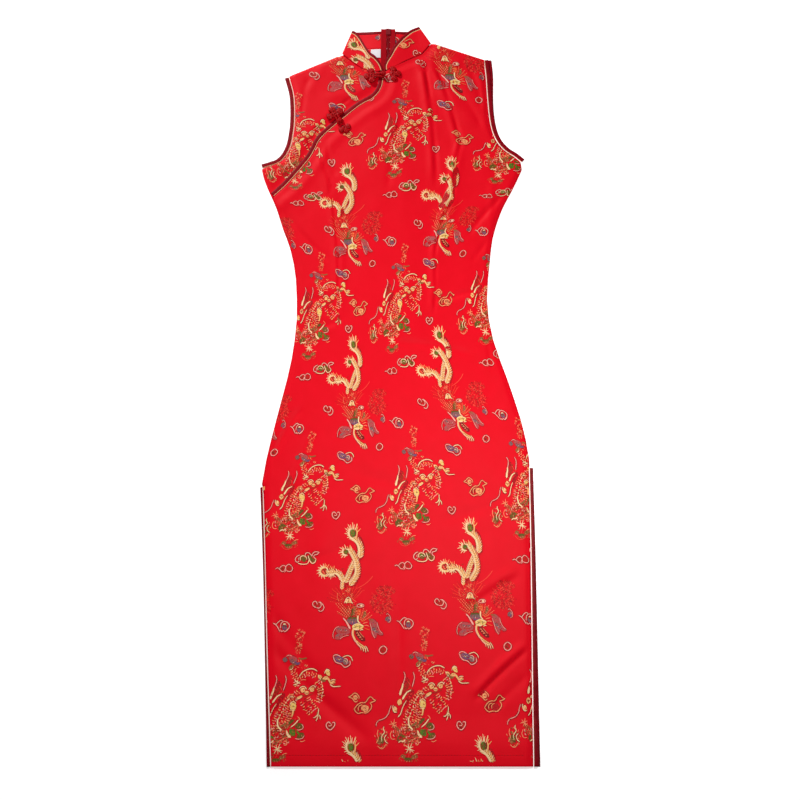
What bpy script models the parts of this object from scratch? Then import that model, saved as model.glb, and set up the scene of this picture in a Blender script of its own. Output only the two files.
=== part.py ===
"""A sleeveless cheongsam dress of brocade, laid flat and face up, as the pieces that are sewn together.

Sizes are in millimetres and become metres when a mesh is made. X runs to the viewer's right, Y from the
hem to the collar and Z up from the surface that the dress lies on, which is z = 0. Left and right are
the viewer's. The back lies flat on the surface, the front lies on the back, and the stand collar is
folded at its two sides, so that its front wings lie open in a V over the inside of the back collar.
"""

import math

import bmesh
import bpy
import numpy as np
from mathutils import Vector

MM = 0.001
CLOTH = 1.0            # thickness of the brocade
COLLAR = 1.5           # thickness of the stiffened collar
GAP = 0.3              # clearance between neighbouring pieces
HEM_Y = -610.0
HEM_DEPTH = 20.0       # the hem is turned up this far
ZIP_X = -8.6           # centre-back line
ZIP_BOTTOM = 60.0
ZIP_TOP = 605.4
TAPE_WIDTH = 9.5
CHAIN_WIDTH = 5.6
CHAIN_THICK = 1.3
CHAIN_RAISED = 0.15    # the chain's middle lies this far above the tapes'
CHAIN_TOP = 602.6
ARCH_RISE = 3.6        # the zip's upper end stands the back up over its pull
ARCH_HALF = 45.0
ARCH_START = 520.0
ARCH_FULL = 566.0
BINDING = 5.5          # width of the armhole and placket binding
PIPING = 2.0           # diameter of the piping on the front
FLAT_PIPING = 1.0      # on the back, which lies flat
BINDING_THICK = 1.4
BACK_SHOWS_ARMHOLE = 5.4   # the back's binding shows this far outside the front's at the right shoulder
BACK_SHOWS_SLIT = 4.0      # and at the hem of the right slit
UNDERLAP = 8.0         # the upper front piece runs this far under the placket
LIFT_LIMIT = 3.6       # the front rises no more than this over the back
CORD = 3.2             # diameter of the frog cord
PETAL_REACH = 12.2     # from a frog's hub to the middle of the cord at a petal's tip
OVERLAP_RISE = 1.8     # the front stands this far over the upper front piece at the placket
HINGE_Y = 597.2        # the pull's axis, which runs along X
HINGE_Z = 1.1
PULL_LENGTH = 22.0
MIDDLE_X = 0.4         # the middle of the whole outline, which is moved onto the origin
MIDDLE_Y = 0.8


def table(columns, *rows):
    """A dictionary of arrays, one for each named column."""
    return dict(zip(columns.split(), np.array(rows, float).T))


# The side seams, from the slits up to the underarm.
SEAMS = table(
    "y left right",
    (-200, -199.7, 212.0), (-160, -194.0, 210.8), (-128, -187.6, 206.6), (-96, -180.6, 199.8),
    (-64, -173.4, 190.9), (-31, -166.0, 181.0), (2, -159.8, 170.0), (36, -155.6, 160.0),
    (70, -153.4, 153.9), (104, -154.1, 151.9), (139, -156.6, 154.3), (165, -160.6, 157.3),
    (192, -167.0, 160.4), (210, -173.2, 163.2), (227, -179.8, 167.6), (245, -185.5, 173.2),
    (264, -191.6, 180.4), (282, -199.0, 189.3), (300, -207.3, 198.6), (319, -214.5, 207.6),
    (336, -218.8, 215.0),
)
# The seam lines of the trims: the middle of each run of piping.
ARMHOLE_LEFT = table(
    "x y",
    (-217.9, 339.9), (-204.0, 344.6), (-190.8, 350.4), (-179.8, 363.4), (-172.4, 382.0),
    (-168.9, 404.0), (-167.3, 427.6), (-168.1, 458.3), (-171.0, 483.0), (-178.9, 512.2),
)
ARMHOLE_RIGHT = table(
    "x y",
    (215.4, 350.6), (204.0, 361.0), (189.4, 371.8), (178.2, 385.2), (170.6, 401.0),
    (166.0, 420.0), (163.4, 443.0), (161.4, 477.6), (160.0, 512.7), (157.3, 546.0),
)
# A slit's binding is turned further under along its middle.
SLIT_LEFT = table(
    "x y binding",
    (-198.6, -202.0, 2.0), (-191.4, -315.0, 1.3), (-186.4, -404.0, 1.1), (-181.2, -490.0, 1.8),
    (-172.8, HEM_Y, 4.0),
)
SLIT_RIGHT = table(
    "x y binding", (211.3, -172.0, 3.6), (209.4, -315.0, 3.6), (206.4, -450.0, 3.8), (202.8, HEM_Y, 4.0)
)
PLACKET = table(
    "x y",
    (-197.2, 287.6), (-178.0, 307.5), (-161.7, 327.8), (-148.8, 345.0), (-137.8, 361.4),
    (-131.0, 376.0), (-124.2, 391.5), (-112.8, 405.4), (-96.8, 421.4), (-82.6, 434.4),
    (-63.2, 452.0), (-47.8, 462.8), (-36.6, 469.0), (-26.4, 479.5), (-19.8, 493.2),
    (-17.4, 508.8), (-16.2, 521.0),
)
NECK_LEFT = table(
    "x y",
    (-9.0, 520.8), (-33.0, 522.6), (-50.1, 526.6), (-62.2, 534.4), (-72.7, 543.0), (-88.0, 555.2),
)
NECK_RIGHT = table(
    "x y",
    (-13.6, 522.6), (3.2, 532.0), (20.4, 541.8), (35.0, 549.4), (50.0, 556.4), (61.0, 570.0),
    (66.4, 578.6),
)
SHOULDER_LEFT = table("x y", (-178.0, 514.2), (-95.6, 553.4))
SHOULDER_RIGHT = table("x y", (157.0, 546.6), (68.5, 579.8))
# The stand collar's sections: bottom is on the neck seam, top on the piping and binding is the binding's
# width there. Each half runs from centre front to its fold as a wing, then back to the zip.
WING_LEFT = table(
    "bottom_x bottom_y top_x top_y binding",
    (-31.0, 523.2, -20.4, 524.0, 2.2), (-34.0, 523.4, -22.4, 530.4, 2.6), (-38.0, 524.0, -26.4, 538.4, 3.6),
    (-44.0, 525.6, -33.6, 547.2, 4.4), (-52.0, 529.0, -42.0, 554.4, 4.5), (-61.0, 534.8, -50.2, 568.0, 4.5),
    (-71.0, 543.0, -58.8, 585.0, 4.5), (-79.0, 549.8, -66.4, 595.6, 4.5), (-86.4, 556.2, -71.6, 598.4, 4.5),
)
NAPE_LEFT = table(
    "bottom_x bottom_y top_x top_y binding",
    (-86.4, 559.2, -71.6, 598.4, 4.5), (-62.0, 566.4, -56.0, 598.0, 4.5), (-38.0, 568.0, -37.0, 597.4, 4.5),
    (-9.4, 568.2, -9.4, 597.4, 4.5),
)
WING_RIGHT = table(
    "bottom_x bottom_y top_x top_y binding",
    (-1.5, 530.3, -11.2, 526.0, 2.2), (1.0, 531.8, -11.4, 533.4, 2.4), (6.0, 534.6, -8.2, 541.8, 3.4),
    (13.0, 538.6, -1.8, 552.4, 4.2), (24.0, 544.7, 4.8, 565.4, 4.5), (36.0, 551.0, 12.8, 577.2, 4.5),
    (48.0, 557.0, 22.8, 589.0, 4.5), (57.4, 567.6, 34.0, 599.6, 4.5), (63.6, 577.0, 46.4, 606.0, 4.5),
)
NAPE_RIGHT = table(
    "bottom_x bottom_y top_x top_y binding",
    (63.6, 579.0, 46.4, 606.0, 4.5), (46.4, 573.4, 35.0, 600.2, 4.5), (20.5, 569.0, 19.0, 597.4, 4.5),
    (-7.8, 568.2, -7.8, 597.4, 4.5),
)
FOLD_STEPS = 5         # sections round the fold between wing and nape
# The front's largest folds: ridges along a line, each with its half-width and rise.
FOLDS = table(
    "x0 y0 x1 y1 half_width rise",
    (44, 520, 60, 452, 9, 1.3), (60, 452, 70, 392, 8, 1.2), (82, 490, 132, 424, 10, 1.5),
    (150, 452, 176, 372, 9, 0.9), (116, 392, 104, 330, 8, 1.2), (104, 330, 97, 262, 7, 1.3),
    (97, 262, 70, 178, 7, 1.0), (70, 178, 66, 78, 7, 0.8), (-127, 368, -108, 318, 8, 1.1),
    (-108, 318, -92, 249, 7, 1.2), (-92, 249, -86, 60, 7, 0.9), (163, 306, 161, 232, 6, 1.3),
    (138, 318, 182, 292, 9, 0.8), (-150, 262, -186, 286, 9, 0.8), (-20, 150, 34, 118, 12, 0.7),
    (-140, 128, -96, 112, 10, 0.7), (96, 96, 144, 112, 10, 0.7), (24, 60, 92, -60, 16, 0.8),
    (-120, 20, -60, -110, 16, 0.8), (40, -210, 62, -420, 22, 0.9), (-96, -240, -118, -430, 20, 0.8),
    (148, -300, 176, -470, 16, 0.8), (150, -488, 206, -566, 9, 1.2), (-30, -500, -24, -600, 12, 0.7),
    (-58, 486, -118, 470, 10, 0.8), (-120, 536, -148, 480, 10, 0.8), (112, 548, 98, 500, 9, 0.8),
)
# Rounded fullness over the bust and the hips.
FULLNESS = table(
    "x y radius rise",
    (-72, 330, 62, 0.9), (82, 350, 64, 1.0), (-90, -120, 120, 0.7), (100, -110, 120, 0.7),
)
NECK_BUMPS = table("x y radius rise", (-88, 562, 52, 3.6), (66, 580, 52, 3.6))
# Heights at which the panels have a row of points.
LOWER_ROWS = [-604, -590, -576, -556, -534, -490, -440, -390, -340, -290, -240, -202.5]
SEAM_ROWS = [
    -199.5, -172.5, -169.5, -142, -114, -88, -64, -40, -16, 10, 36, 62, 88, 114, 139, 164, 187, 210,
    232, 254, 277, 300, 319, 333,
]
ARM_ROWS = [
    338, 342, 346, 351, 356.5, 363, 371, 379, 387, 396, 405, 415, 428, 441, 453, 461.5, 466.5, 472, 480,
    490, 501, 512, 518,
]
FRONT_TOP_ROWS = [523.5, 528, 534, 541, 546, 551, 557, 563, 570, 575, 578]
FLAP_TOP_ROWS = [521.6, 524, 528, 534, 541, 548, 553]
FRONT_COLUMNS = 15
FLAP_COLUMNS = 7
BACK_COLUMNS = 3

COLOURS = {
    "brocade": ((0.72, 0.01, 0.03), 0.45),
    "binding": ((0.16, 0.003, 0.015), 0.4),
    "piping": ((0.86, 0.52, 0.26), 0.4),
    "frog_cord": ((0.30, 0.002, 0.01), 0.5),
    "zip_tape": ((0.33, 0.004, 0.025), 0.8),
    "slider": ((0.30, 0.004, 0.02), 0.3),
    "label": ((0.85, 0.83, 0.82), 0.8),
}


def material(name):
    """A Principled material of this colour and roughness, made for one object."""
    colour, roughness = COLOURS[name]
    made = bpy.data.materials.new(name)
    made.use_nodes = True
    shader = made.node_tree.nodes["Principled BSDF"]
    shader.inputs["Base Color"].default_value = (*colour, 1.0)
    shader.inputs["Roughness"].default_value = roughness
    shader.inputs["Metallic"].default_value = 0.8 if name == "slider" else 0.0
    return made


def smooth(value):
    """0 below 0, 1 above 1, and a smooth step between."""
    value = np.clip(value, 0.0, 1.0)
    return value * value * (3.0 - 2.0 * value)


def points_of(line):
    return np.column_stack([line["x"], line["y"]])


def through(points, count):
    """count points, evenly spaced along a Catmull-Rom curve through the given points."""
    points = np.asarray(points, float)
    padded = np.vstack([2 * points[0] - points[1], points, 2 * points[-1] - points[-2]])
    dense = [points[0]]
    for a, b, c, d in zip(padded, padded[1:], padded[2:], padded[3:]):
        for t in np.linspace(0.125, 1.0, 8):
            square = 2 * a - 5 * b + 4 * c - d
            cube = 3 * b - a - 3 * c + d
            dense.append(0.5 * (2 * b + (c - a) * t + square * t**2 + cube * t**3))
    dense = np.array(dense)
    length = np.append(0.0, np.cumsum(np.linalg.norm(np.diff(dense, axis=0), axis=1)))
    at = np.linspace(0.0, length[-1], count)
    return np.column_stack([np.interp(at, length, dense[:, axis]) for axis in range(dense.shape[1])])


def to_left(points, distance):
    """The plan line moved to its left, looking along it."""
    along = np.gradient(points, axis=0)
    along /= np.linalg.norm(along, axis=1)[:, None]
    return points + distance * np.column_stack([-along[:, 1], along[:, 0]])


def distance_to(x, y, line):
    """Plan distance from each point to a line of straight runs."""
    nearest = np.full(np.shape(x), np.inf)
    for a, b in zip(line, line[1:]):
        run = b - a
        t = np.clip(((x - a[0]) * run[0] + (y - a[1]) * run[1]) / (run @ run), 0.0, 1.0)
        nearest = np.minimum(nearest, np.hypot(x - a[0] - t * run[0], y - a[1] - t * run[1]))
    return nearest


def side_of(seam, armhole, shoulder, slit):
    """Arrays (y, x) of one side's cloth edge, from the hem to the neck, and its sign."""
    sign = np.sign(armhole["x"][0])
    inside = -sign * (PIPING / 2 + GAP)
    slit_x = slit["x"][::-1] + inside
    slit_y = slit["y"][::-1]
    above = SEAMS["y"] > slit_y[-1] + 2.5
    arm = to_left(through(points_of(armhole), 30), PIPING / 2 + GAP if sign > 0 else -PIPING / 2 - GAP)
    arm[0] = (seam[-1] + inside, arm[0, 1])
    first_y = np.interp(slit_y[-1] + 2.5, SEAMS["y"], seam)
    y = np.concatenate([slit_y, [slit_y[-1] + 2.5], SEAMS["y"][above], arm[:, 1], shoulder["y"]])
    x = np.concatenate([slit_x, [first_y], seam[above], arm[:, 0], shoulder["x"]])
    y = np.maximum.accumulate(y + 1e-6 * np.arange(len(y)))
    return y, x


LEFT_SIDE = side_of(SEAMS["left"], ARMHOLE_LEFT, SHOULDER_LEFT, SLIT_LEFT)
RIGHT_SIDE = side_of(SEAMS["right"], ARMHOLE_RIGHT, SHOULDER_RIGHT, SLIT_RIGHT)
PLACKET_LINE = through(points_of(PLACKET), 28)


def left_edge(y):
    return np.interp(y, *LEFT_SIDE)


def right_edge(y):
    return np.interp(y, *RIGHT_SIDE)


def back_arch(x, y):
    """How far the back stands off the surface round the zip's upper end."""
    across = smooth(1.25 - np.abs(x - ZIP_X) / ARCH_HALF)
    return ARCH_RISE * across * smooth((y - ARCH_START) / (ARCH_FULL - ARCH_START))


def hem_lift(y):
    """The front lies on two turned-up hems at its lower end."""
    return 2 * (CLOTH + GAP) * smooth((HEM_Y + 75.0 - y) / 52.0)


def front_lift(x, y):
    """Rise of the front over the zip, at the neck, over the bust and along its folds."""
    lift = 2.2 * smooth(1.3 - np.abs(x - ZIP_X) / 60.0) * smooth((y - ZIP_BOTTOM + 60.0) / 60.0)
    for group in (FULLNESS, NECK_BUMPS):
        for cx, cy, radius, rise in zip(*group.values()):
            lift = lift + rise * np.exp(-((x - cx) ** 2 + (y - cy) ** 2) / (2 * (radius / 2) ** 2))
    for x0, y0, x1, y1, half_width, rise in zip(*FOLDS.values()):
        run = np.array([x1 - x0, y1 - y0])
        length = np.hypot(*run)
        t = ((x - x0) * run[0] + (y - y0) * run[1]) / length**2
        across = ((x - x0) * run[1] - (y - y0) * run[0]) / length
        ends = smooth((t + 0.25) / 0.5) * smooth((1.25 - t) / 0.5)
        lift = lift + rise * ends * np.exp(-((across / half_width) ** 2))
    return LIFT_LIMIT * np.tanh(lift / LIFT_LIMIT)


def layer_height(x, y):
    """Middle height of the front layer, with no regard to its edges."""
    return 1.5 * CLOTH + GAP + back_arch(x, y) + hem_lift(y) + front_lift(x, y)


def front_height(x, y):
    """Middle height of the front, which comes down to the back at the sides and shoulders."""
    inside = np.minimum(x - left_edge(y), right_edge(y) - x)
    eased = smooth(inside / 22.0)
    return 1.5 * CLOTH + GAP + back_arch(x, y) + hem_lift(y) + front_lift(x, y) * eased


def placket_lift(x, y):
    """The front rises over the upper front piece along the placket."""
    return OVERLAP_RISE * smooth((38.0 - distance_to(x, y, PLACKET_LINE)) / 24.0)


def placket_height(x, y):
    return front_height(x, y) + placket_lift(x, y)


def back_height(x, y):
    return 0.5 * CLOTH + back_arch(x, y)


def clear_scene():
    for obj in list(bpy.data.objects):
        bpy.data.objects.remove(obj, do_unlink=True)
    collection = bpy.data.collections.new("cheongsam_dress")
    bpy.context.scene.collection.children.link(collection)
    return collection


def add_object(name, data, finish):
    data.materials.append(material(finish))
    obj = bpy.data.objects.new(name, data)
    DRESS.objects.link(obj)
    return obj


def add_shell(name, grid, thickness, finish):
    """A cloth wall: an open surface through a grid of points, given its thickness by Solidify."""
    rows, columns, _ = grid.shape
    mesh_data = bpy.data.meshes.new(name)
    shape = bmesh.new()
    verts = [shape.verts.new(point * MM) for point in grid.reshape(-1, 3)]
    for row in range(rows - 1):
        for column in range(columns - 1):
            corner = row * columns + column
            shape.faces.new([verts[corner + k] for k in (0, 1, columns + 1, columns)])
    bmesh.ops.recalc_face_normals(shape, faces=shape.faces)
    shape.to_mesh(mesh_data)
    shape.free()
    mesh_data.shade_smooth()
    obj = add_object(name, mesh_data, finish)
    wall = obj.modifiers.new("wall", "SOLIDIFY")
    wall.thickness = thickness * MM
    wall.offset = 0.0
    wall.use_even_offset = True
    return obj


def add_tube(name, points, diameter, finish, closed=False):
    """A round cord along a line of points."""
    curve = bpy.data.curves.new(name, "CURVE")
    curve.dimensions = "3D"
    curve.bevel_depth = diameter * MM / 2
    curve.bevel_resolution = 1
    curve.use_fill_caps = True
    spline = curve.splines.new("POLY")
    spline.points.add(len(points) - 1)
    for target, point in zip(spline.points, points):
        target.co = (*(np.array(point) * MM), 1.0)
    spline.use_cyclic_u = closed
    return add_object(name, curve, finish)


def add_box(name, low, high, finish):
    """A box between two corners."""
    mesh_data = bpy.data.meshes.new(name)
    shape = bmesh.new()
    bmesh.ops.create_cube(shape, size=1.0)
    low = np.array(low)
    high = np.array(high)
    for vert in shape.verts:
        vert.co = ((low + high) / 2 + np.array(vert.co) * (high - low)) * MM
    shape.to_mesh(mesh_data)
    shape.free()
    return add_object(name, mesh_data, finish)


def rows_between(left, right, columns, height, bow=0.0):
    """Points in straight rows between matching points of two edges, each at its height. bow bends a row."""
    left = np.asarray(left, float)
    right = np.asarray(right, float)
    across = np.linspace(0.0, 1.0, columns + 1)[None, :]
    across = 0.6 * across + 0.4 * smooth(across)
    x = left[:, :1] + (right[:, :1] - left[:, :1]) * across
    y = left[:, 1:] + (right[:, 1:] - left[:, 1:]) * across
    y = y + np.reshape(bow, (-1, 1)) * 4 * across * (1 - across)
    return np.stack([x, y, height(x, y)], axis=2)


def with_hem(grid, turned):
    """The grid with its cloth turned up at the hem, above (+1) or below (-1) the panel."""
    radius = (CLOTH + GAP) / 2
    centre_y = HEM_Y + radius + CLOTH / 2
    edge = grid[0]
    rows = []
    for y, turn in [(HEM_Y + HEM_DEPTH, 1.0), (centre_y, 1.0)]:
        rise = 2 * radius * turned * turn
        rows.append(edge + np.column_stack([0 * edge[:, 0], y - edge[:, 1], 0 * edge[:, 0] + rise]))
    for angle in np.radians([45.0, 0.0, -45.0, -90.0]):
        y = centre_y - radius * math.cos(angle)
        rise = radius * turned * (1 + math.sin(angle))
        rows.append(edge + np.column_stack([0 * edge[:, 0], y - edge[:, 1], 0 * edge[:, 0] + rise]))
    return np.concatenate([np.array(rows), grid])


def edge_points(x_of, rows):
    return np.column_stack([x_of(np.array(rows, float)), rows])


def add_front():
    """The front, from the hem to the placket, the right armhole, shoulder and neckline."""
    line = to_left(PLACKET_LINE, -(PIPING / 2 + 2 * GAP))
    neck = points_of(NECK_RIGHT)
    left_y = np.concatenate([LEFT_SIDE[0][LEFT_SIDE[0] < line[0, 1] - 1], line[:, 1], neck[1:, 1]])
    left_x = np.concatenate([LEFT_SIDE[1][LEFT_SIDE[0] < line[0, 1] - 1], line[:, 0], neck[1:, 0]])
    rows = LOWER_ROWS + SEAM_ROWS + ARM_ROWS + FRONT_TOP_ROWS
    left = edge_points(lambda y: np.interp(y, left_y, left_x), rows)
    right = edge_points(right_edge, rows)
    grid = rows_between(left, right, FRONT_COLUMNS, placket_height)
    add_shell("front", with_hem(grid, -1.0), CLOTH, "brocade")


def add_flap():
    """The upper front piece, which ends under the placket."""
    line = to_left(PLACKET_LINE, -UNDERLAP)
    line = line[line[:, 1] < 519.0]
    neck = points_of(NECK_LEFT)
    right_y = np.concatenate([line[:, 1], neck[:, 1]])
    right_x = np.concatenate([line[:, 0], neck[:, 0]])
    start = [284.0, 288.0]
    rows = start + [y for y in SEAM_ROWS + ARM_ROWS if y > start[-1] + 3] + FLAP_TOP_ROWS
    left = edge_points(left_edge, rows)
    right = edge_points(lambda y: np.interp(y, right_y, right_x), rows)
    add_shell("upper_front", rows_between(left, right, FLAP_COLUMNS, front_height), CLOTH, "brocade")


def add_backs():
    """The two halves of the back, which part for the zip above ZIP_BOTTOM."""
    shoulder_steps = np.linspace(0.0, 1.0, 7)
    rows = np.array(LOWER_ROWS + SEAM_ROWS + ARM_ROWS[:-2], float)
    for side, edge_of, tip, neck, bow in (
        ("left", left_edge, SHOULDER_LEFT, (-89.5, 555.6), 5.0),
        ("right", right_edge, SHOULDER_RIGHT, (66.2, 577.8), -4.0),
    ):
        sign = -1.0 if side == "left" else 1.0
        centre_x = ZIP_X + sign * 0.6
        top_y = 566.8
        start = np.array([tip["x"][0], tip["y"][0]])
        outer_top = start + (np.array(neck) - start) * shoulder_steps[:, None]
        inner_top = np.column_stack([
            np.full(7, centre_x), 514.0 + (top_y - 514.0) * shoulder_steps
        ])
        levels = rows if side == "left" else np.append(rows, [528.0])
        inner_rows = np.minimum(levels, 507.0 + 0.05 * (levels - 507.0))
        inner_rows = np.where(levels > 507.0, inner_rows, levels)
        outer = np.concatenate([edge_points(edge_of, levels), outer_top])
        inner = np.concatenate([np.column_stack([np.full(len(levels), centre_x), inner_rows]), inner_top])
        bows = np.concatenate([np.zeros(len(levels)), bow * shoulder_steps**2])
        left, right = (outer, inner) if sign < 0 else (inner, outer)
        grid = rows_between(left, right, BACK_COLUMNS, back_height, bows)
        add_shell("back_" + side, with_hem(grid, 1.0), CLOTH, "brocade")


def add_strip(name, line_a, line_b, height, thickness, finish):
    """A flat ribbon between two matching plan lines."""
    add_shell(name, rows_between(line_a, line_b, 1, height), thickness, finish)


def add_edge_trim(name, seam, width, outward, height, flat=False):
    """Piping along a seam line and a binding outside it, of one width or a width at each point. outward is
    +1 where that is the line's left."""
    pipe = FLAT_PIPING if flat else PIPING
    thick = CLOTH if flat else BINDING_THICK
    across = to_left(seam, outward) - seam
    inner = seam + across * (PIPING / 2 + GAP)
    outer = seam + across * np.reshape(PIPING / 2 + GAP + width, (-1, 1))
    cloth_bottom = -CLOTH / 2
    middle = cloth_bottom + thick / 2
    add_strip("binding_" + name, inner, outer, lambda x, y: height(x, y) + middle, thick, "binding")
    pipe_height = height(seam[:, 0], seam[:, 1]) + cloth_bottom + pipe / 2
    add_tube("piping_" + name, np.column_stack([seam, pipe_height]), pipe, "piping")


def add_edge_trims():
    """Bound and piped armholes and side slits, on the front and, beneath, on the back."""
    armholes = (("left", ARMHOLE_LEFT, 1.0, 0.0), ("right", ARMHOLE_RIGHT, -1.0, BACK_SHOWS_ARMHOLE))
    for side, armhole, outward, shows in armholes:
        seam = through(points_of(armhole), 20)
        add_edge_trim("armhole_front_" + side, seam, BINDING, outward, front_height)
        wider = shows * (0.2 + 0.8 * smooth((np.linspace(0.0, 1.0, len(seam)) - 0.5) / 0.45))
        back_seam = seam + (to_left(seam, outward) - seam) * wider[:, None]
        add_edge_trim("armhole_back_" + side, back_seam, BINDING, outward, back_height, flat=True)
    slits = (("left", SLIT_LEFT, -1.0, 0.4), ("right", SLIT_RIGHT, 1.0, BACK_SHOWS_SLIT))
    for side, slit, outward, shows in slits:
        run = through(np.column_stack([slit["x"], slit["y"], slit["binding"]]), 14)
        seam, width = run[:, :2], run[:, 2]
        seam[0, 1] -= 1.5
        add_edge_trim("slit_front_" + side, seam, width, outward, front_height)
        wider = np.linspace(0.4, shows, len(seam))
        back_seam = seam + (to_left(seam, outward) - seam) * wider[:, None]
        add_edge_trim("slit_back_" + side, back_seam, width, outward, back_height, flat=True)


def add_placket():
    """Binding and piping on the placket, lying on the upper front piece."""
    seam = PLACKET_LINE
    on_cloth = CLOTH / 2 + 1.6 * GAP
    inner = to_left(seam, PIPING / 2 + GAP)
    outer = to_left(seam, PIPING / 2 + GAP + BINDING)
    add_strip(
        "binding_placket", inner, outer, lambda x, y: front_height(x, y) + on_cloth + 0.6, 1.2, "binding"
    )
    height = front_height(seam[:, 0], seam[:, 1]) + on_cloth + PIPING / 2
    add_tube("piping_placket", np.column_stack([seam, height]), PIPING, "piping")


def collar_sections(wing, nape):
    """Rows of bottom, top and binding, with a level of 1 on the wing and 0 on the nape, and a round fold."""
    names = ["bottom_x", "bottom_y", "top_x", "top_y", "binding"]
    front = through(np.column_stack([wing[name] for name in names]), 19)
    back = through(np.column_stack([nape[name] for name in names]), 8)
    run = front[-1, 2:4] - front[-1, 0:2]
    away = np.array([run[1], -run[0]]) / np.linalg.norm(run)
    away = away * np.sign(away[0] * front[-1, 0])
    top = front[-1, 2:4]
    radius = (layer_height(*top) - COLLAR / 2 - back_arch(*top)) / 2
    rows = [np.append(row, 1.0) for row in front]
    for angle in np.linspace(0.0, math.pi, FOLD_STEPS + 2)[1:-1]:
        part = (1 - math.cos(angle)) / 2
        row = front[-1] * (1 - part) + back[0] * part
        row[0:4] += np.tile(away * radius * math.sin(angle), 2)
        rows.append(np.append(row, 1.0 - part))
    rows += [np.append(row, 0.0) for row in back]
    return np.array(rows)


def collar_band(sections, low, high, columns):
    """Grid of points on the collar between two distances beyond the top seam. With low None the band starts
    on the neck seam, and with high None it ends at the binding's outer edge."""
    bottom = sections[:, 0:2]
    top = sections[:, 2:4]
    level = sections[:, 5:6]
    up = (top - bottom) / np.linalg.norm(top - bottom, axis=1)[:, None]
    start = bottom if low is None else top + up * low
    end = top + up * (sections[:, 4:5] + low if high is None else high)
    across = np.linspace(0.0, 1.0, columns + 1)[None, :]
    x = start[:, :1] + (end[:, :1] - start[:, :1]) * across
    y = start[:, 1:] + (end[:, 1:] - start[:, 1:]) * across
    front = layer_height(x, y) + (COLLAR - CLOTH) / 2
    back = COLLAR / 2 + back_arch(x, y)
    return np.stack([x, y, back + (front - back) * level], axis=2)


def add_collar():
    """Each half of the stand collar with its piping and binding."""
    beside = COLLAR / 2 + GAP
    for side, wing, nape in (("left", WING_LEFT, NAPE_LEFT), ("right", WING_RIGHT, NAPE_RIGHT)):
        sections = collar_sections(wing, nape)
        add_shell("collar_" + side, collar_band(sections, None, -beside - 0.15, 3), COLLAR, "brocade")
        seam = collar_band(sections, 0.0, 0.001, 1)[:, 0]
        add_tube("piping_collar_" + side, seam, COLLAR, "piping")
        add_shell("binding_collar_" + side, collar_band(sections, beside + 0.15, None, 1), COLLAR, "binding")


def tape_height(x, y):
    """Middle height of the zip tapes, which lie on the inside of the back and its collar."""
    return 1.5 * CLOTH + GAP + back_arch(x, y) + (COLLAR - CLOTH) * smooth((y - 554.0) / 11.0)


def add_zip():
    """Two tapes and the chain between them."""
    rows = np.concatenate([np.linspace(ZIP_BOTTOM, 520.0, 6), np.linspace(530.0, ZIP_TOP, 12)])
    near = CHAIN_WIDTH / 2 + GAP
    for side, sign in (("left", -1.0), ("right", 1.0)):
        inner = np.column_stack([np.full(len(rows), ZIP_X + sign * near), rows])
        outer = inner + [sign * TAPE_WIDTH, 0.0]
        add_strip("zip_tape_" + side, inner, outer, tape_height, CLOTH, "zip_tape")
    rows = np.append(rows[:-1], CHAIN_TOP)
    left = np.column_stack([np.full(len(rows), ZIP_X - CHAIN_WIDTH / 2), rows])
    right = left + [CHAIN_WIDTH, 0.0]
    add_strip(
        "zip_chain", left, right, lambda x, y: tape_height(x, y) + CHAIN_RAISED, CHAIN_THICK, "zip_tape"
    )


def join_solids(name, solids):
    """The Boolean union of several solids, under one name."""
    first = solids[0]
    first.name = name
    for number, other in enumerate(solids[1:]):
        union = first.modifiers.new(f"union_{number}", "BOOLEAN")
        union.operation = "UNION"
        union.object = other
        other.hide_render = True
        other.display_type = "WIRE"
        DRESS.objects.unlink(other)
        CUTTERS.objects.link(other)


def add_slider():
    """The slider at the top of the chain: a plate inside, a plate outside, and the lugs of the pull."""
    chain_top = float(tape_height(ZIP_X, CHAIN_TOP)) + CHAIN_RAISED + CHAIN_THICK / 2
    outside = ARCH_RISE - 0.4
    low_y = CHAIN_TOP - 9.0
    high_y = CHAIN_TOP + 2.6
    half = 3.9
    inner = ((-half, low_y, chain_top + GAP), (half, high_y, chain_top + GAP + 1.0))
    outer = ((-half, low_y, outside - 1.2), (half, high_y, outside))
    neck = ((-2.3, CHAIN_TOP + GAP + 0.4, outside - 0.6), (2.3, high_y - 0.1, chain_top + GAP + 0.5))
    across = np.array([ZIP_X, 0.0, 0.0])
    pieces = [
        add_box("slider_plate", across + low, across + high, "slider") for low, high in (inner, outer, neck)
    ]
    for sign in (-1.0, 1.0):
        x = sorted([ZIP_X + sign * 1.9, ZIP_X + sign * 3.1])
        pieces.append(
            add_box("slider_lug", (x[0], HINGE_Y - 0.9, 0.45), (x[1], HINGE_Y + 0.9, outside - 0.9), "slider")
        )
    join_solids("zip_slider", pieces)


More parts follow.
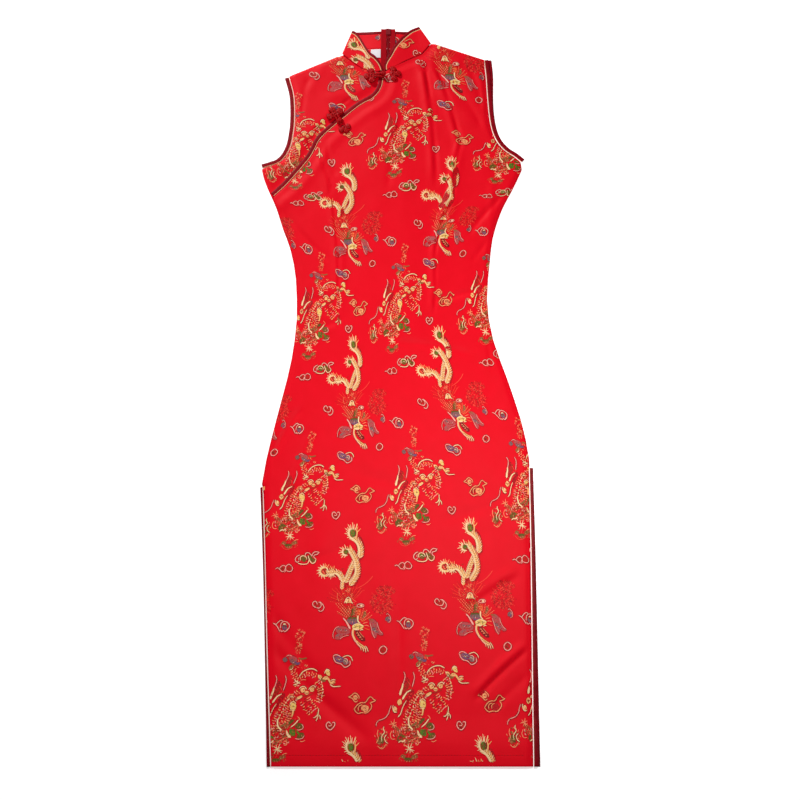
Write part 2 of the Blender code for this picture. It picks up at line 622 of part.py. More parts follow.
def add_pull():
    """The slider's pull: a barrel between the lugs and a flat tab, turning about the barrel's axis."""
    pivot = bpy.data.objects.new("pull_hinge", None)
    pivot.location = (ZIP_X * MM, HINGE_Y * MM, HINGE_Z * MM)
    DRESS.objects.link(pivot)
    barrel_data = bpy.data.meshes.new("zip_pull")
    shape = bmesh.new()
    bmesh.ops.create_cone(
        shape, cap_ends=True, segments=12, radius1=0.6 * MM, radius2=0.6 * MM, depth=3.0 * MM
    )
    shape.to_mesh(barrel_data)
    shape.free()
    barrel = add_object("zip_pull_barrel", barrel_data, "slider")
    barrel.rotation_euler = (0.0, math.pi / 2, 0.0)
    barrel.parent = pivot
    tab = add_box("zip_pull_tab", (-1.3, -6.0, -0.5), (1.3, -0.2, 0.5), "slider")
    tab.parent = pivot
    plate = add_box("zip_pull_plate", (-2.4, -PULL_LENGTH, -0.5), (2.4, -4.5, 0.5), "slider")
    plate.parent = pivot
    bpy.context.view_layer.update()
    join_solids("zip_pull", [barrel, tab, plate])


def add_label():
    """The bare label under the back neck seam, beside the zip tape."""
    rows = np.linspace(549.8, 566.0, 4)
    left = np.column_stack([np.full(4, -38.6), rows])
    right = np.column_stack([np.full(4, ZIP_X - CHAIN_WIDTH / 2 - 2 * GAP - TAPE_WIDTH), rows])
    grid = rows_between(left, right, 4, lambda x, y: 1.5 * CLOTH + GAP + back_arch(x, y))
    add_shell("label", grid, CLOTH, "label")


def frog_cover(x, y):
    """Height of the top of what lies under a frog: the front, the placket's trims and the collar."""
    near = smooth((44.0 - distance_to(x, y, PLACKET_LINE)) / 24.0)
    return layer_height(x, y) + COLLAR / 2 + (COLLAR - CLOTH) / 2 + 1.6 * near


# One petal of a frog in polar places about its hub: a part of PETAL_REACH, and degrees from its axis.
PETAL = table(
    "reach turn",
    (0.46, -21.0), (0.60, -19.5), (0.76, -23.0), (0.91, -17.5), (1.0, 0.0),
    (0.91, 17.5), (0.76, 23.0), (0.60, 19.5), (0.46, 21.0),
)
# The two frogs: where the knot lies, the turn from it to the loop half, and the length of each half.
FROGS = {
    "neck": {"knot": (-16.8, 513.9), "turn": 185.0, "loop": 33.0, "end": 30.5},
    "placket": {"knot": (-89.2, 424.7), "turn": 122.0, "loop": 30.0, "end": 30.6},
}


def direction(degrees):
    return np.array([math.cos(math.radians(degrees)), math.sin(math.radians(degrees))])


def petal_ring(centre, turns, reaches):
    """A closed line of cord through petals about a hub, with a petal at each turn in degrees."""
    points = []
    for index, (turn, reach) in enumerate(zip(turns, reaches)):
        for part, degrees in zip(PETAL["reach"], PETAL["turn"]):
            stretch = float((reach - PETAL_REACH) * smooth((part - 0.5) / 0.2))
            points.append(part * PETAL_REACH * direction(turn + degrees) + stretch * direction(turn))
        following = turns[(index + 1) % len(turns)] + (360 if index + 1 == len(turns) else 0)
        points.append(0.32 * PETAL_REACH * direction((turn + following) / 2))
    return np.array(points) + centre


def add_frog(name, knot, turn, loop, end):
    """A frog: a loop half, an end half and the ball knot where they meet."""
    knot = np.array(knot)
    toward = direction(turn)
    outer = PETAL_REACH + CORD / 2
    loop_hub = knot + toward * (loop - outer)
    end_hub = knot - toward * (end - outer)
    hub_to_knot = loop - outer
    halves = (
        ("loop", loop_hub, [turn - 84, turn, turn + 84, turn + 180], [PETAL_REACH] * 3 + [hub_to_knot + 1.6]),
        ("end", end_hub, [turn + 180 - 84, turn + 180, turn + 180 + 84], [PETAL_REACH] * 3),
    )
    for half, hub, turns, reaches in halves:
        ring = petal_ring(hub, turns, reaches)
        height = frog_cover(ring[:, 0], ring[:, 1]) + GAP + CORD / 2
        add_tube(f"frog_{name}_{half}", np.column_stack([ring, height]), CORD, "frog_cord", closed=True)
    add_knot(f"frog_{name}_knot", knot)


def add_knot(name, knot):
    """The ball knot: a flattened ball with the grooves of its turns."""
    mesh_data = bpy.data.meshes.new(name)
    shape = bmesh.new()
    bmesh.ops.create_uvsphere(shape, u_segments=16, v_segments=9, radius=1.0)
    base = float(frog_cover(*knot)) + GAP + CORD + 3.2
    for vert in shape.verts:
        turn = math.atan2(vert.co.y, vert.co.x)
        groove = 1.0 + 0.06 * math.cos(4 * turn + 5 * vert.co.z)
        place = np.array(vert.co) * [4.3 * groove, 4.3 * groove, 3.4]
        vert.co = (np.array([*knot, base]) + place) * MM
    shape.to_mesh(mesh_data)
    shape.free()
    mesh_data.shade_smooth()
    add_object(name, mesh_data, "frog_cord")


DRESS = clear_scene()
CUTTERS = bpy.data.collections.new("cutters")
bpy.context.scene.collection.children.link(CUTTERS)
add_front()
add_flap()
add_backs()
add_edge_trims()
add_placket()
add_collar()
add_zip()
add_slider()
add_pull()
add_label()
for frog_name, frog in FROGS.items():
    add_frog(frog_name, **frog)
for placed in bpy.data.objects:
    if placed.parent is None:
        placed.location -= Vector((MIDDLE_X, MIDDLE_Y, 0.0)) * MM
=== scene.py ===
"""A sleeveless cheongsam dress of red phoenix and dragon brocade, laid flat and face up.

Lengths are in millimetres on the dress's drafting axes until a mesh is made. X runs to the viewer's right,
Y from the hem to the collar and Z up. The outline's tables are those that the solids were drafted from.
"""

import math

import bpy
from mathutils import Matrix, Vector
import numpy as np


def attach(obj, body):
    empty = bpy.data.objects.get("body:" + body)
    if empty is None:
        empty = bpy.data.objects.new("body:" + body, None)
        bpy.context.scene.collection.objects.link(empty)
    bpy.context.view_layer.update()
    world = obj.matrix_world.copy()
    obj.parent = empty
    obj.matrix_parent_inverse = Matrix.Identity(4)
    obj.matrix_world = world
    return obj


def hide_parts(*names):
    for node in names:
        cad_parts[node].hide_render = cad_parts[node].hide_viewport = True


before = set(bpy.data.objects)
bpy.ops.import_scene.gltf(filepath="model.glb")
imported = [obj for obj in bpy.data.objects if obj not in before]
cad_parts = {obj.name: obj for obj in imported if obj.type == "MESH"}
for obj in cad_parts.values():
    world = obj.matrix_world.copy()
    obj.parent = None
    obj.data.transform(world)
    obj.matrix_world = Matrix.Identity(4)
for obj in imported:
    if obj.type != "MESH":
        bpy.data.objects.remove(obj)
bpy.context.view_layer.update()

MM = 0.001
MIDDLE = np.array([0.4, 0.8, 0.0])  # the drafting axes' place of the frame's origin
CLOTH = 1.0  # thickness that the solids give the cloth
FRONT_WALL = 0.9  # thickness of the panels made here
BACK_WALL = 0.8
BACK_RAISED = 0.06  # how far the back's wall lies above the middle of its solid
COLLAR_WALL = 1.35
COLLAR = 1.5
GAP = 0.3
HEM_Y = -610.0
HEM_DEPTH = 20.0
ZIP_X = -8.6
ZIP_BOTTOM = 60.0
ZIP_TOP = 605.4
CHAIN_TOP = 602.6
TAPE_WIDTH = 9.5
CHAIN_WIDTH = 5.6
ARCH_RISE = 3.6
ARCH_HALF = 45.0
ARCH_START = 520.0
ARCH_FULL = 566.0
BINDING = 5.5
PIPING = 2.0
FLAT_PIPING = 1.0
THIN = 0.46  # the part of a piping's width that its binding leaves in sight
ARMHOLE_THIN = 0.34  # the same round the armholes
SLIT_THIN = 0.22  # the same along the slits, where it is nearly covered
BINDING_THICK = 1.4
BACK_SHOWS_ARMHOLE = 5.4
BACK_SHOWS_SLIT = 4.0
UNDERLAP = 8.0
LIFT_LIMIT = 3.6
CORD = 3.2
PETAL_REACH = 12.2
OVERLAP_RISE = 1.8
LOFT = 2.1  # how far the front swells up inside its edges
CREASE_DEPTH = 2.2  # height of a crease whose rise is 1


def table(columns, *rows):
    """A dictionary of arrays, one for each named column."""
    return dict(zip(columns.split(), np.array(rows, float).T))


SEAMS = table(
    "y left right",
    (-200, -199.7, 212.0), (-160, -194.0, 210.8), (-128, -187.6, 206.6), (-96, -180.6, 199.8),
    (-64, -173.4, 190.9), (-31, -166.0, 181.0), (2, -159.8, 170.0), (36, -155.6, 160.0),
    (70, -153.4, 153.9), (104, -154.1, 151.9), (139, -156.6, 154.3), (165, -160.6, 157.3),
    (192, -167.0, 160.4), (210, -173.2, 163.2), (227, -179.8, 167.6), (245, -185.5, 173.2),
    (264, -191.6, 180.4), (282, -199.0, 189.3), (300, -207.3, 198.6), (319, -214.5, 207.6),
    (336, -218.8, 215.0),
)
ARMHOLE_LEFT = table(
    "x y",
    (-217.9, 339.9), (-204.0, 344.6), (-190.8, 350.4), (-179.8, 363.4), (-172.4, 382.0),
    (-168.9, 404.0), (-167.3, 427.6), (-168.1, 458.3), (-171.0, 483.0), (-178.9, 512.2),
)
ARMHOLE_RIGHT = table(
    "x y",
    (215.4, 350.6), (204.0, 361.0), (189.4, 371.8), (178.2, 385.2), (170.6, 401.0),
    (166.0, 420.0), (163.4, 443.0), (161.4, 477.6), (160.0, 512.7), (157.3, 546.0),
)
SLIT_LEFT = table(
    "x y binding",
    (-198.6, -202.0, 2.0), (-191.4, -315.0, 1.3), (-186.4, -404.0, 1.1), (-181.2, -490.0, 1.8),
    (-172.8, HEM_Y, 4.0),
)
SLIT_RIGHT = table(
    "x y binding", (211.3, -172.0, 3.6), (209.4, -315.0, 3.6), (206.4, -450.0, 3.8), (202.8, HEM_Y, 4.0)
)
PLACKET = table(
    "x y",
    (-197.2, 287.6), (-178.0, 307.5), (-161.7, 327.8), (-148.8, 345.0), (-137.8, 361.4),
    (-131.0, 376.0), (-124.2, 391.5), (-112.8, 405.4), (-96.8, 421.4), (-82.6, 434.4),
    (-63.2, 452.0), (-47.8, 462.8), (-36.6, 469.0), (-26.4, 479.5), (-19.8, 493.2),
    (-17.4, 508.8), (-16.2, 521.0),
)
NECK_LEFT = table(
    "x y",
    (-9.0, 520.8), (-33.0, 522.6), (-50.1, 526.6), (-62.2, 534.4), (-72.7, 543.0), (-88.0, 555.2),
)
NECK_RIGHT = table(
    "x y",
    (-13.6, 522.6), (3.2, 532.0), (20.4, 541.8), (35.0, 549.4), (50.0, 556.4), (61.0, 570.0),
    (66.4, 578.6),
)
SHOULDER_LEFT = table("x y", (-178.0, 514.2), (-95.6, 553.4))
SHOULDER_RIGHT = table("x y", (157.0, 546.6), (68.5, 579.8))
WING_LEFT = table(
    "bottom_x bottom_y top_x top_y binding",
    (-31.0, 523.2, -20.4, 524.0, 2.2), (-34.0, 523.4, -22.4, 530.4, 2.6), (-38.0, 524.0, -26.4, 538.4, 3.6),
    (-44.0, 525.6, -33.6, 547.2, 4.4), (-52.0, 529.0, -42.0, 554.4, 4.5), (-61.0, 534.8, -50.2, 568.0, 4.5),
    (-71.0, 543.0, -58.8, 585.0, 4.5), (-79.0, 549.8, -66.4, 595.6, 4.5), (-86.4, 556.2, -71.6, 598.4, 4.5),
)
NAPE_LEFT = table(
    "bottom_x bottom_y top_x top_y binding",
    (-86.4, 559.2, -71.6, 598.4, 4.5), (-62.0, 566.4, -56.0, 598.0, 4.5), (-38.0, 568.0, -37.0, 597.4, 4.5),
    (-9.4, 568.2, -9.4, 597.4, 4.5),
)
WING_RIGHT = table(
    "bottom_x bottom_y top_x top_y binding",
    (-1.5, 530.3, -11.2, 526.0, 2.2), (1.0, 531.8, -11.4, 533.4, 2.4), (6.0, 534.6, -8.2, 541.8, 3.4),
    (13.0, 538.6, -1.8, 552.4, 4.2), (24.0, 544.7, 4.8, 565.4, 4.5), (36.0, 551.0, 12.8, 577.2, 4.5),
    (48.0, 557.0, 22.8, 589.0, 4.5), (57.4, 567.6, 34.0, 599.6, 4.5), (63.6, 577.0, 46.4, 606.0, 4.5),
)
NAPE_RIGHT = table(
    "bottom_x bottom_y top_x top_y binding",
    (63.6, 579.0, 46.4, 606.0, 4.5), (46.4, 573.4, 35.0, 600.2, 4.5), (20.5, 569.0, 19.0, 597.4, 4.5),
    (-7.8, 568.2, -7.8, 597.4, 4.5),
)
FOLD_STEPS = 13
FOLDS = table(
    "x0 y0 x1 y1 half_width rise",
    (44, 520, 60, 452, 9, 1.3), (60, 452, 70, 392, 8, 1.2), (82, 490, 132, 424, 10, 1.5),
    (150, 452, 176, 372, 9, 0.9), (116, 392, 104, 330, 8, 1.2), (104, 330, 97, 262, 7, 1.3),
    (97, 262, 70, 178, 7, 1.0), (70, 178, 66, 78, 7, 0.8), (-127, 368, -108, 318, 8, 1.1),
    (-108, 318, -92, 249, 7, 1.2), (-92, 249, -86, 60, 7, 0.9), (163, 306, 161, 232, 6, 1.3),
    (138, 318, 182, 292, 9, 0.8), (-150, 262, -186, 286, 9, 0.8), (-20, 150, 34, 118, 12, 0.7),
    (-140, 128, -96, 112, 10, 0.7), (96, 96, 144, 112, 10, 0.7), (24, 60, 92, -60, 16, 0.8),
    (-120, 20, -60, -110, 16, 0.8), (40, -210, 62, -420, 22, 0.9), (-96, -240, -118, -430, 20, 0.8),
    (148, -300, 176, -470, 16, 0.8), (-30, -500, -24, -600, 12, 0.7),
    (-58, 486, -118, 470, 10, 0.8), (-120, 536, -148, 480, 10, 0.8), (112, 548, 98, 500, 9, 0.8),
)
FULLNESS = table(
    "x y radius rise",
    (-72, 330, 62, 0.9), (82, 350, 64, 1.0), (-90, -120, 120, 0.7), (100, -110, 120, 0.7),
)
NECK_BUMPS = table("x y radius rise", (-88, 562, 52, 3.6), (66, 580, 52, 3.6))
# Creases finer than the solids hold: a ridge, or a trough where rise is negative, along a bent line.
CREASES = table(
    "x0 y0 x1 y1 bend half_width rise",
    (-125.8, 365, -101, 289, -3, 2.6, -0.8), (-101, 289, -87, 104, -4, 2.4, -0.7),
    (-131, 362, -107, 287, -3, 4, 0.8), (-107, 291, -92, 110, -4, 4, 0.6),
    (-81, 214, -78, 96, 2, 5, 0.5), (109, 386, 94, 284, 3, 4, 0.8),
    (94, 286, 63, 176, 5, 4, 0.7), (63, 182, 60, 84, -2, 4, 0.5),
    (-87, 104, -84.9, 53, 0, 2.4, -0.4), (114.5, 388, 99.6, 282, 3, 2.6, -0.8),
    (99.6, 282, 68.9, 179, 5, 2.4, -0.7), (68.9, 179, 66.3, 78, -2, 2.4, -0.5),
    (192, -338, 108, -390, 2, 6, -0.5), (203, -445, 121, -519, 3, 4, -0.8),
    (199, -436, 117, -510, 3, 6, 0.8), (188, -328, 104, -380, 2, 8, 0.5),
    (214, -474, 142, -536, 3, 6, -0.5), (-179, -441, -28, -577, 6, 9, -0.9),
    (-194, -375, -90, -505, 5, 8, -0.5), (-142, -78, -194, -177, 3, 6, -0.8),
    (-125, -114, -164, -232, 2, 7, -0.4), (12, -368, 16, -605, 4, 7, -0.5),
    (50, 563, 72, 307, -5, 4, -0.8), (70, 543, 116, 374, -4, 4, -0.8),
    (43, 560, 65, 310, -5, 6, 0.8), (63, 541, 109, 376, -4, 6, 0.7), (-185, 40, -206, -150, 4, 7, 0.6),
    (93, 518, 150, 415, -3, 5, -0.5), (19, 450, -8, 299, 3, 5, -0.45),
    (148, 138, 180, 18, -3, 4, -0.9), (138, 110, 157, -19, -3, 5, -0.5),
    (-148, 48, -78, 72, 3, 5, -0.6), (60, 103, 144, 124, 3, 5, -0.6),
    (5, 31, 123, 11, -3, 6, -0.5), (-143, 103, -101, 110, 2, 4, -0.5),
    (191, 295, 123, 216, 4, 5, -0.8), (173, 223, 129, 170, 2, 5, -0.5),
    (-180, 259, -102, 170, 4, 5, -0.6), (-115, 392, -93, 325, 2, 4, -0.6),
    (-70, 473, -107, 434, 2, 4, -0.5), (-143, 512, -158, 430, 3, 6, -0.5),
    (132, 527, 151, 453, -3, 6, -0.5), (-65, -177, 42, -202, 4, 8, -0.35),
    (73, -255, 164, -224, 4, 8, -0.35), (-139, -316, -64, -293, 3, 8, -0.35),
)


def smooth(value):
    """0 below 0, 1 above 1, and a smooth step between."""
    value = np.clip(value, 0.0, 1.0)
    return value * value * (3.0 - 2.0 * value)


def points_of(line):
    return np.column_stack([line["x"], line["y"]])


def distances_along(line):
    """Distance along a line from its first point to each."""
    return np.append(0.0, np.cumsum(np.linalg.norm(np.diff(line, axis=0), axis=1)))


def through(points, count):
    """Count points, evenly spaced along a Catmull-Rom curve through the given points."""
    points = np.asarray(points, float)
    padded = np.vstack([2 * points[0] - points[1], points, 2 * points[-1] - points[-2]])
    a, b, c, d = (padded[k : len(padded) - 3 + k, None, :] for k in range(4))
    t = np.linspace(0.125, 1.0, 8)[None, :, None]
    dense = 0.5 * (
        2 * b + (c - a) * t + (2 * a - 5 * b + 4 * c - d) * t**2 + (3 * b - a - 3 * c + d) * t**3
    )
    dense = np.vstack([points[:1], dense.reshape(-1, points.shape[1])])
    length = distances_along(dense)
    at = np.linspace(0.0, length[-1], count)
    return np.column_stack([np.interp(at, length, dense[:, axis]) for axis in range(dense.shape[1])])


def length_of(points):
    return float(np.linalg.norm(np.diff(points, axis=0), axis=1).sum())


def to_left(points, distance):
    """The plan line moved to its left, looking along it."""
    along = np.gradient(points[:, :2], axis=0)
    along /= np.linalg.norm(along, axis=1)[:, None] + 1e-9
    return points[:, :2] + np.reshape(distance, (-1, 1)) * np.column_stack([-along[:, 1], along[:, 0]])


def beside_run(x, y, x0, y0, x1, y1):
    """For each place, how far along a straight run it is, as a part of the run, and how far to its right."""
    run = np.array([x1 - x0, y1 - y0])
    length = np.hypot(*run)
    t = ((x - x0) * run[0] + (y - y0) * run[1]) / length**2
    return t, ((x - x0) * run[1] - (y - y0) * run[0]) / length


def distance_to(x, y, line):
    """Plan distance from each point to a line of straight runs."""
    nearest = np.full(np.shape(x), np.inf)
    for a, b in zip(line, line[1:]):
        run = b - a
        t = np.clip(((x - a[0]) * run[0] + (y - a[1]) * run[1]) / (run @ run), 0.0, 1.0)
        nearest = np.minimum(nearest, np.hypot(x - a[0] - t * run[0], y - a[1] - t * run[1]))
    return nearest


def side_of(seam, armhole, shoulder, slit):
    """Arrays (y, x) of one side's cloth edge, from the hem to the neck."""
    sign = np.sign(armhole["x"][0])
    inside = -sign * (PIPING / 2 + GAP)
    slit_x = slit["x"][::-1] + inside
    slit_y = slit["y"][::-1]
    seam_y = slit_y[-1] + 2.5
    above = SEAMS["y"] > seam_y
    arm = to_left(through(points_of(armhole), 30), PIPING / 2 + GAP if sign > 0 else -PIPING / 2 - GAP)
    arm[0] = (seam[-1] + inside, arm[0, 1])
    seam_x = np.interp(seam_y, SEAMS["y"], seam)
    y = np.concatenate([slit_y, [seam_y], SEAMS["y"][above], arm[:, 1], shoulder["y"]])
    x = np.concatenate([slit_x, [seam_x], seam[above], arm[:, 0], shoulder["x"]])
    y = np.maximum.accumulate(y + 1e-6 * np.arange(len(y)))
    return y, x


LEFT_SIDE = side_of(SEAMS["left"], ARMHOLE_LEFT, SHOULDER_LEFT, SLIT_LEFT)
RIGHT_SIDE = side_of(SEAMS["right"], ARMHOLE_RIGHT, SHOULDER_RIGHT, SLIT_RIGHT)
PLACKET_LINE = through(points_of(PLACKET), 28)


def left_edge(y):
    return np.interp(y, *LEFT_SIDE)


def right_edge(y):
    return np.interp(y, *RIGHT_SIDE)


def back_arch(x, y):
    """How far the back stands off the surface round the zip's upper end."""
    across = smooth(1.25 - np.abs(x - ZIP_X) / ARCH_HALF)
    return ARCH_RISE * across * smooth((y - ARCH_START) / (ARCH_FULL - ARCH_START))


def hem_lift(y):
    return 2 * (CLOTH + GAP) * smooth((HEM_Y + 75.0 - y) / 52.0)


def front_lift(x, y):
    """Rise of the front over the zip, at the neck, over the bust and along its folds."""
    lift = 2.2 * smooth(1.3 - np.abs(x - ZIP_X) / 60.0) * smooth((y - ZIP_BOTTOM + 60.0) / 60.0)
    for group in (FULLNESS, NECK_BUMPS):
        for cx, cy, radius, rise in zip(*group.values()):
            lift = lift + rise * np.exp(-((x - cx) ** 2 + (y - cy) ** 2) / (2 * (radius / 2) ** 2))
    for *ends_of, half_width, rise in zip(*FOLDS.values()):
        t, across = beside_run(x, y, *ends_of)
        ends = smooth((t + 0.25) / 0.5) * smooth((1.25 - t) / 0.5)
        lift = lift + rise * ends * np.exp(-((across / half_width) ** 2))
    return LIFT_LIMIT * np.tanh(lift / LIFT_LIMIT)


def layer_height(x, y):
    """Middle height of the front layer, with no regard to its edges."""
    return 1.5 * CLOTH + GAP + back_arch(x, y) + hem_lift(y) + front_lift(x, y)


def front_height(x, y):
    """Middle height of the front, which comes down to the back at the sides and shoulders."""
    inside = np.minimum(x - left_edge(y), right_edge(y) - x)
    eased = smooth(inside / 22.0)
    return 1.5 * CLOTH + GAP + back_arch(x, y) + hem_lift(y) + front_lift(x, y) * eased


def placket_height(x, y):
    """The front rises over the upper front piece along the placket."""
    return front_height(x, y) + OVERLAP_RISE * smooth((38.0 - distance_to(x, y, PLACKET_LINE)) / 24.0)


def back_height(x, y):
    return 0.5 * CLOTH + back_arch(x, y)


def creased(x, y):
    """Height of the fine creases and of the cloth's loft, which die away at the trims and the frogs."""
    total = 0.2 * np.sin(x / 9.0 + 2.2 * np.sin(y / 31.0)) * np.sin(y / 23.0 + 1.7 * np.sin(x / 27.0))
    for x0, y0, x1, y1, bend, half_width, rise in zip(*CREASES.values()):
        t, across = beside_run(x, y, x0, y0, x1, y1)
        across = across - bend * 4 * t * (1 - t)
        ends = smooth((t + 0.06) / 0.2) * smooth((1.06 - t) / 0.2)
        uneven = 1.0 + 0.25 * np.sin(t * 9.0 + x0)
        total = total + CREASE_DEPTH * rise * ends * uneven * np.exp(-((across / half_width) ** 2))
    inside = np.minimum(x - left_edge(y), right_edge(y) - x)
    beside_placket = smooth((distance_to(x, y, PLACKET_LINE) - 9.0) / 16.0)
    for neck in (NECK_LEFT, NECK_RIGHT):
        beside_placket = beside_placket * smooth((distance_to(x, y, points_of(neck)) - 3.0) / 15.0)
    loft = LOFT * smooth((inside - 0.3) / 9.0) * smooth((y - HEM_Y + 1.0) / 9.0)
    return (total * smooth((inside - 2.0) / 14.0) + loft) * beside_placket


# -------- meshes


def add_object(name, data):
    obj = bpy.data.objects.new(name, data)
    bpy.context.scene.collection.objects.link(obj)
    return obj


def make_piece(name, points, faces, finish, uv=None, colours=None):
    """A mesh object from points in millimetres and arrays of four-cornered faces."""
    mesh_data = bpy.data.meshes.new(name)
    faces = np.asarray(faces, np.int32)
    mesh_data.vertices.add(len(points))
    mesh_data.vertices.foreach_set("co", ((points - MIDDLE) * MM).astype(np.float32).ravel())
    mesh_data.loops.add(faces.size)
    mesh_data.loops.foreach_set("vertex_index", faces.ravel())
    mesh_data.polygons.add(len(faces))
    mesh_data.polygons.foreach_set("loop_start", np.arange(0, faces.size, faces.shape[1], dtype=np.int32))
    mesh_data.polygons.foreach_set("use_smooth", np.ones(len(faces), bool))
    mesh_data.update(calc_edges=True)
    if uv is not None:
        layer = mesh_data.uv_layers.new(name="along")
        layer.data.foreach_set("uv", uv[faces.ravel()].astype(np.float32).ravel())
    if colours is not None:
        layer = mesh_data.color_attributes.new("thread", "FLOAT_COLOR", "POINT")
        layer.data.foreach_set("color", colours.astype(np.float32).ravel())
    mesh_data.materials.append(finish)
    obj = add_object(name, mesh_data)
    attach(obj, "dress")
    return obj


def grid_faces(rows, columns, closed_rows=False, closed_columns=False):
    """Corner numbers of the faces of a grid of rows x columns points."""
    r = np.arange(rows if closed_rows else rows - 1)
    c = np.arange(columns if closed_columns else columns - 1)
    r, c = np.meshgrid(r, c, indexing="ij")
    r2, c2 = (r + 1) % rows, (c + 1) % columns
    corners = [r * columns + c, r * columns + c2, r2 * columns + c2, r2 * columns + c]
    return np.stack(corners, -1).reshape(-1, 4)


def grid_normals(grid):
    """Unit normals of a grid, to the side from which the columns run to the right and the rows up."""
    across = np.gradient(grid, axis=1)
    along = np.gradient(grid, axis=0)
    normal = np.cross(across, along)
    return normal / (np.linalg.norm(normal, axis=2, keepdims=True) + 1e-12)


def shell_parts(grid, thickness):
    """Points, faces and (x, y) marks of a closed cloth wall about a grid of points."""
    rows, columns, _ = grid.shape
    normal = grid_normals(grid) * thickness / 2
    count = rows * columns
    top = grid_faces(rows, columns)
    index = np.arange(count).reshape(rows, columns)
    rim = np.concatenate([index[0, :-1], index[:-1, -1], index[-1, :0:-1], index[:0:-1, 0]])
    following = np.roll(rim, -1)
    sides = np.stack([rim, rim + count, following + count, following], -1)
    points = np.concatenate([(grid + normal).reshape(-1, 3), (grid - normal).reshape(-1, 3)])
    along = distances_along(grid[:, columns // 2])
    across = distances_along(grid[rows // 2])
    marks = np.stack(np.meshgrid(along, across, indexing="ij"), -1).reshape(-1, 2)
    return points, np.concatenate([top, top[:, ::-1] + count, sides]), np.concatenate([marks, marks])


def area_of(grid):
    """Area of a grid's surface in square metres."""
    a, b, c, d = grid[:-1, :-1], grid[:-1, 1:], grid[1:, 1:], grid[1:, :-1]
    return float(np.linalg.norm(np.cross(c - a, d - b), axis=2).sum() / 2) * MM * MM


def make_cloth(name, grid, thickness, finish):
    """A cloth wall that replaces the node of its name."""
    points, faces, marks = shell_parts(grid, thickness)
    obj = make_piece(name + "_cloth", points, faces, finish, uv=marks)
    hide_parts(name)
    return obj


def flat_size(grid):
    """Greatest width and length along the middle of a grid's surface in metres, and its area."""
    width = np.linalg.norm(np.diff(grid, axis=1), axis=2).sum(1).max() * MM
    length = length_of(grid[:, grid.shape[1] // 2]) * MM
    return width, length, min(area_of(grid), width * length)


def declare(grid, rests_on, with_pieces=()):
    width, length, area = flat_size(grid)


def ring_parts(grid, closed=False):
    """Points, faces and marks of a solid whose cross-sections are the grid's rows, with an even number of
    points in each. Its ends are closed, or where closed is set its last row meets its first."""
    rows, sides, _ = grid.shape
    faces = grid_faces(rows, sides, closed_rows=closed, closed_columns=True)[:, ::-1]
    middle = grid.mean(axis=1)
    along = distances_along(middle)
    around = np.arange(sides) / sides
    marks = np.stack(np.meshgrid(along, around, indexing="ij"), -1).reshape(-1, 2)
    if not closed:
        k = np.arange(sides // 2 - 1)
        cap = np.stack([k, k + 1, sides - 2 - k, sides - 1 - k], -1)
        faces = np.concatenate([faces, cap, cap[:, ::-1] + (rows - 1) * sides])
    return grid.reshape(-1, 3), faces, marks


def tube_parts(path, radius, sides=10, closed=False):
    """Points, faces and marks of a round tube: a circle of sides points carried along the path.

    The circle's frame turns as little as it can from each point of the path to the next."""
    path = np.asarray(path, float)
    radius = np.broadcast_to(np.asarray(radius, float), (len(path),))
    if closed:
        tangent = np.roll(path, -1, axis=0) - np.roll(path, 1, axis=0)
    else:
        tangent = np.gradient(path, axis=0)
    tangent /= np.linalg.norm(tangent, axis=1)[:, None] + 1e-12
    side = np.cross(tangent[0], (0.0, 0.0, 1.0))
    if np.linalg.norm(side) < 0.1:
        side = np.cross(tangent[0], (0.0, 1.0, 0.0))
    sides_of = []
    for ahead in tangent:
        side = side - ahead * (side @ ahead)
        side = side / np.linalg.norm(side)
        sides_of.append(side)
    side = np.array(sides_of)
    up = np.cross(side, tangent)
    turn = np.linspace(0.0, 2 * np.pi, sides, endpoint=False)
    ring = side[:, None, :] * np.cos(turn)[None, :, None] + up[:, None, :] * np.sin(turn)[None, :, None]
    return ring_parts(path[:, None, :] + ring * radius[:, None, None], closed)


def joined(parts):
    """Several (points, faces, marks) as one."""
    points, faces, marks, start = [], [], [], 0
    for some_points, some_faces, some_marks in parts:
        points.append(some_points)
        faces.append(some_faces + start)
        marks.append(some_marks)
        start += len(some_points)
    return np.concatenate(points), np.concatenate(faces), np.concatenate(marks)


# -------- materials


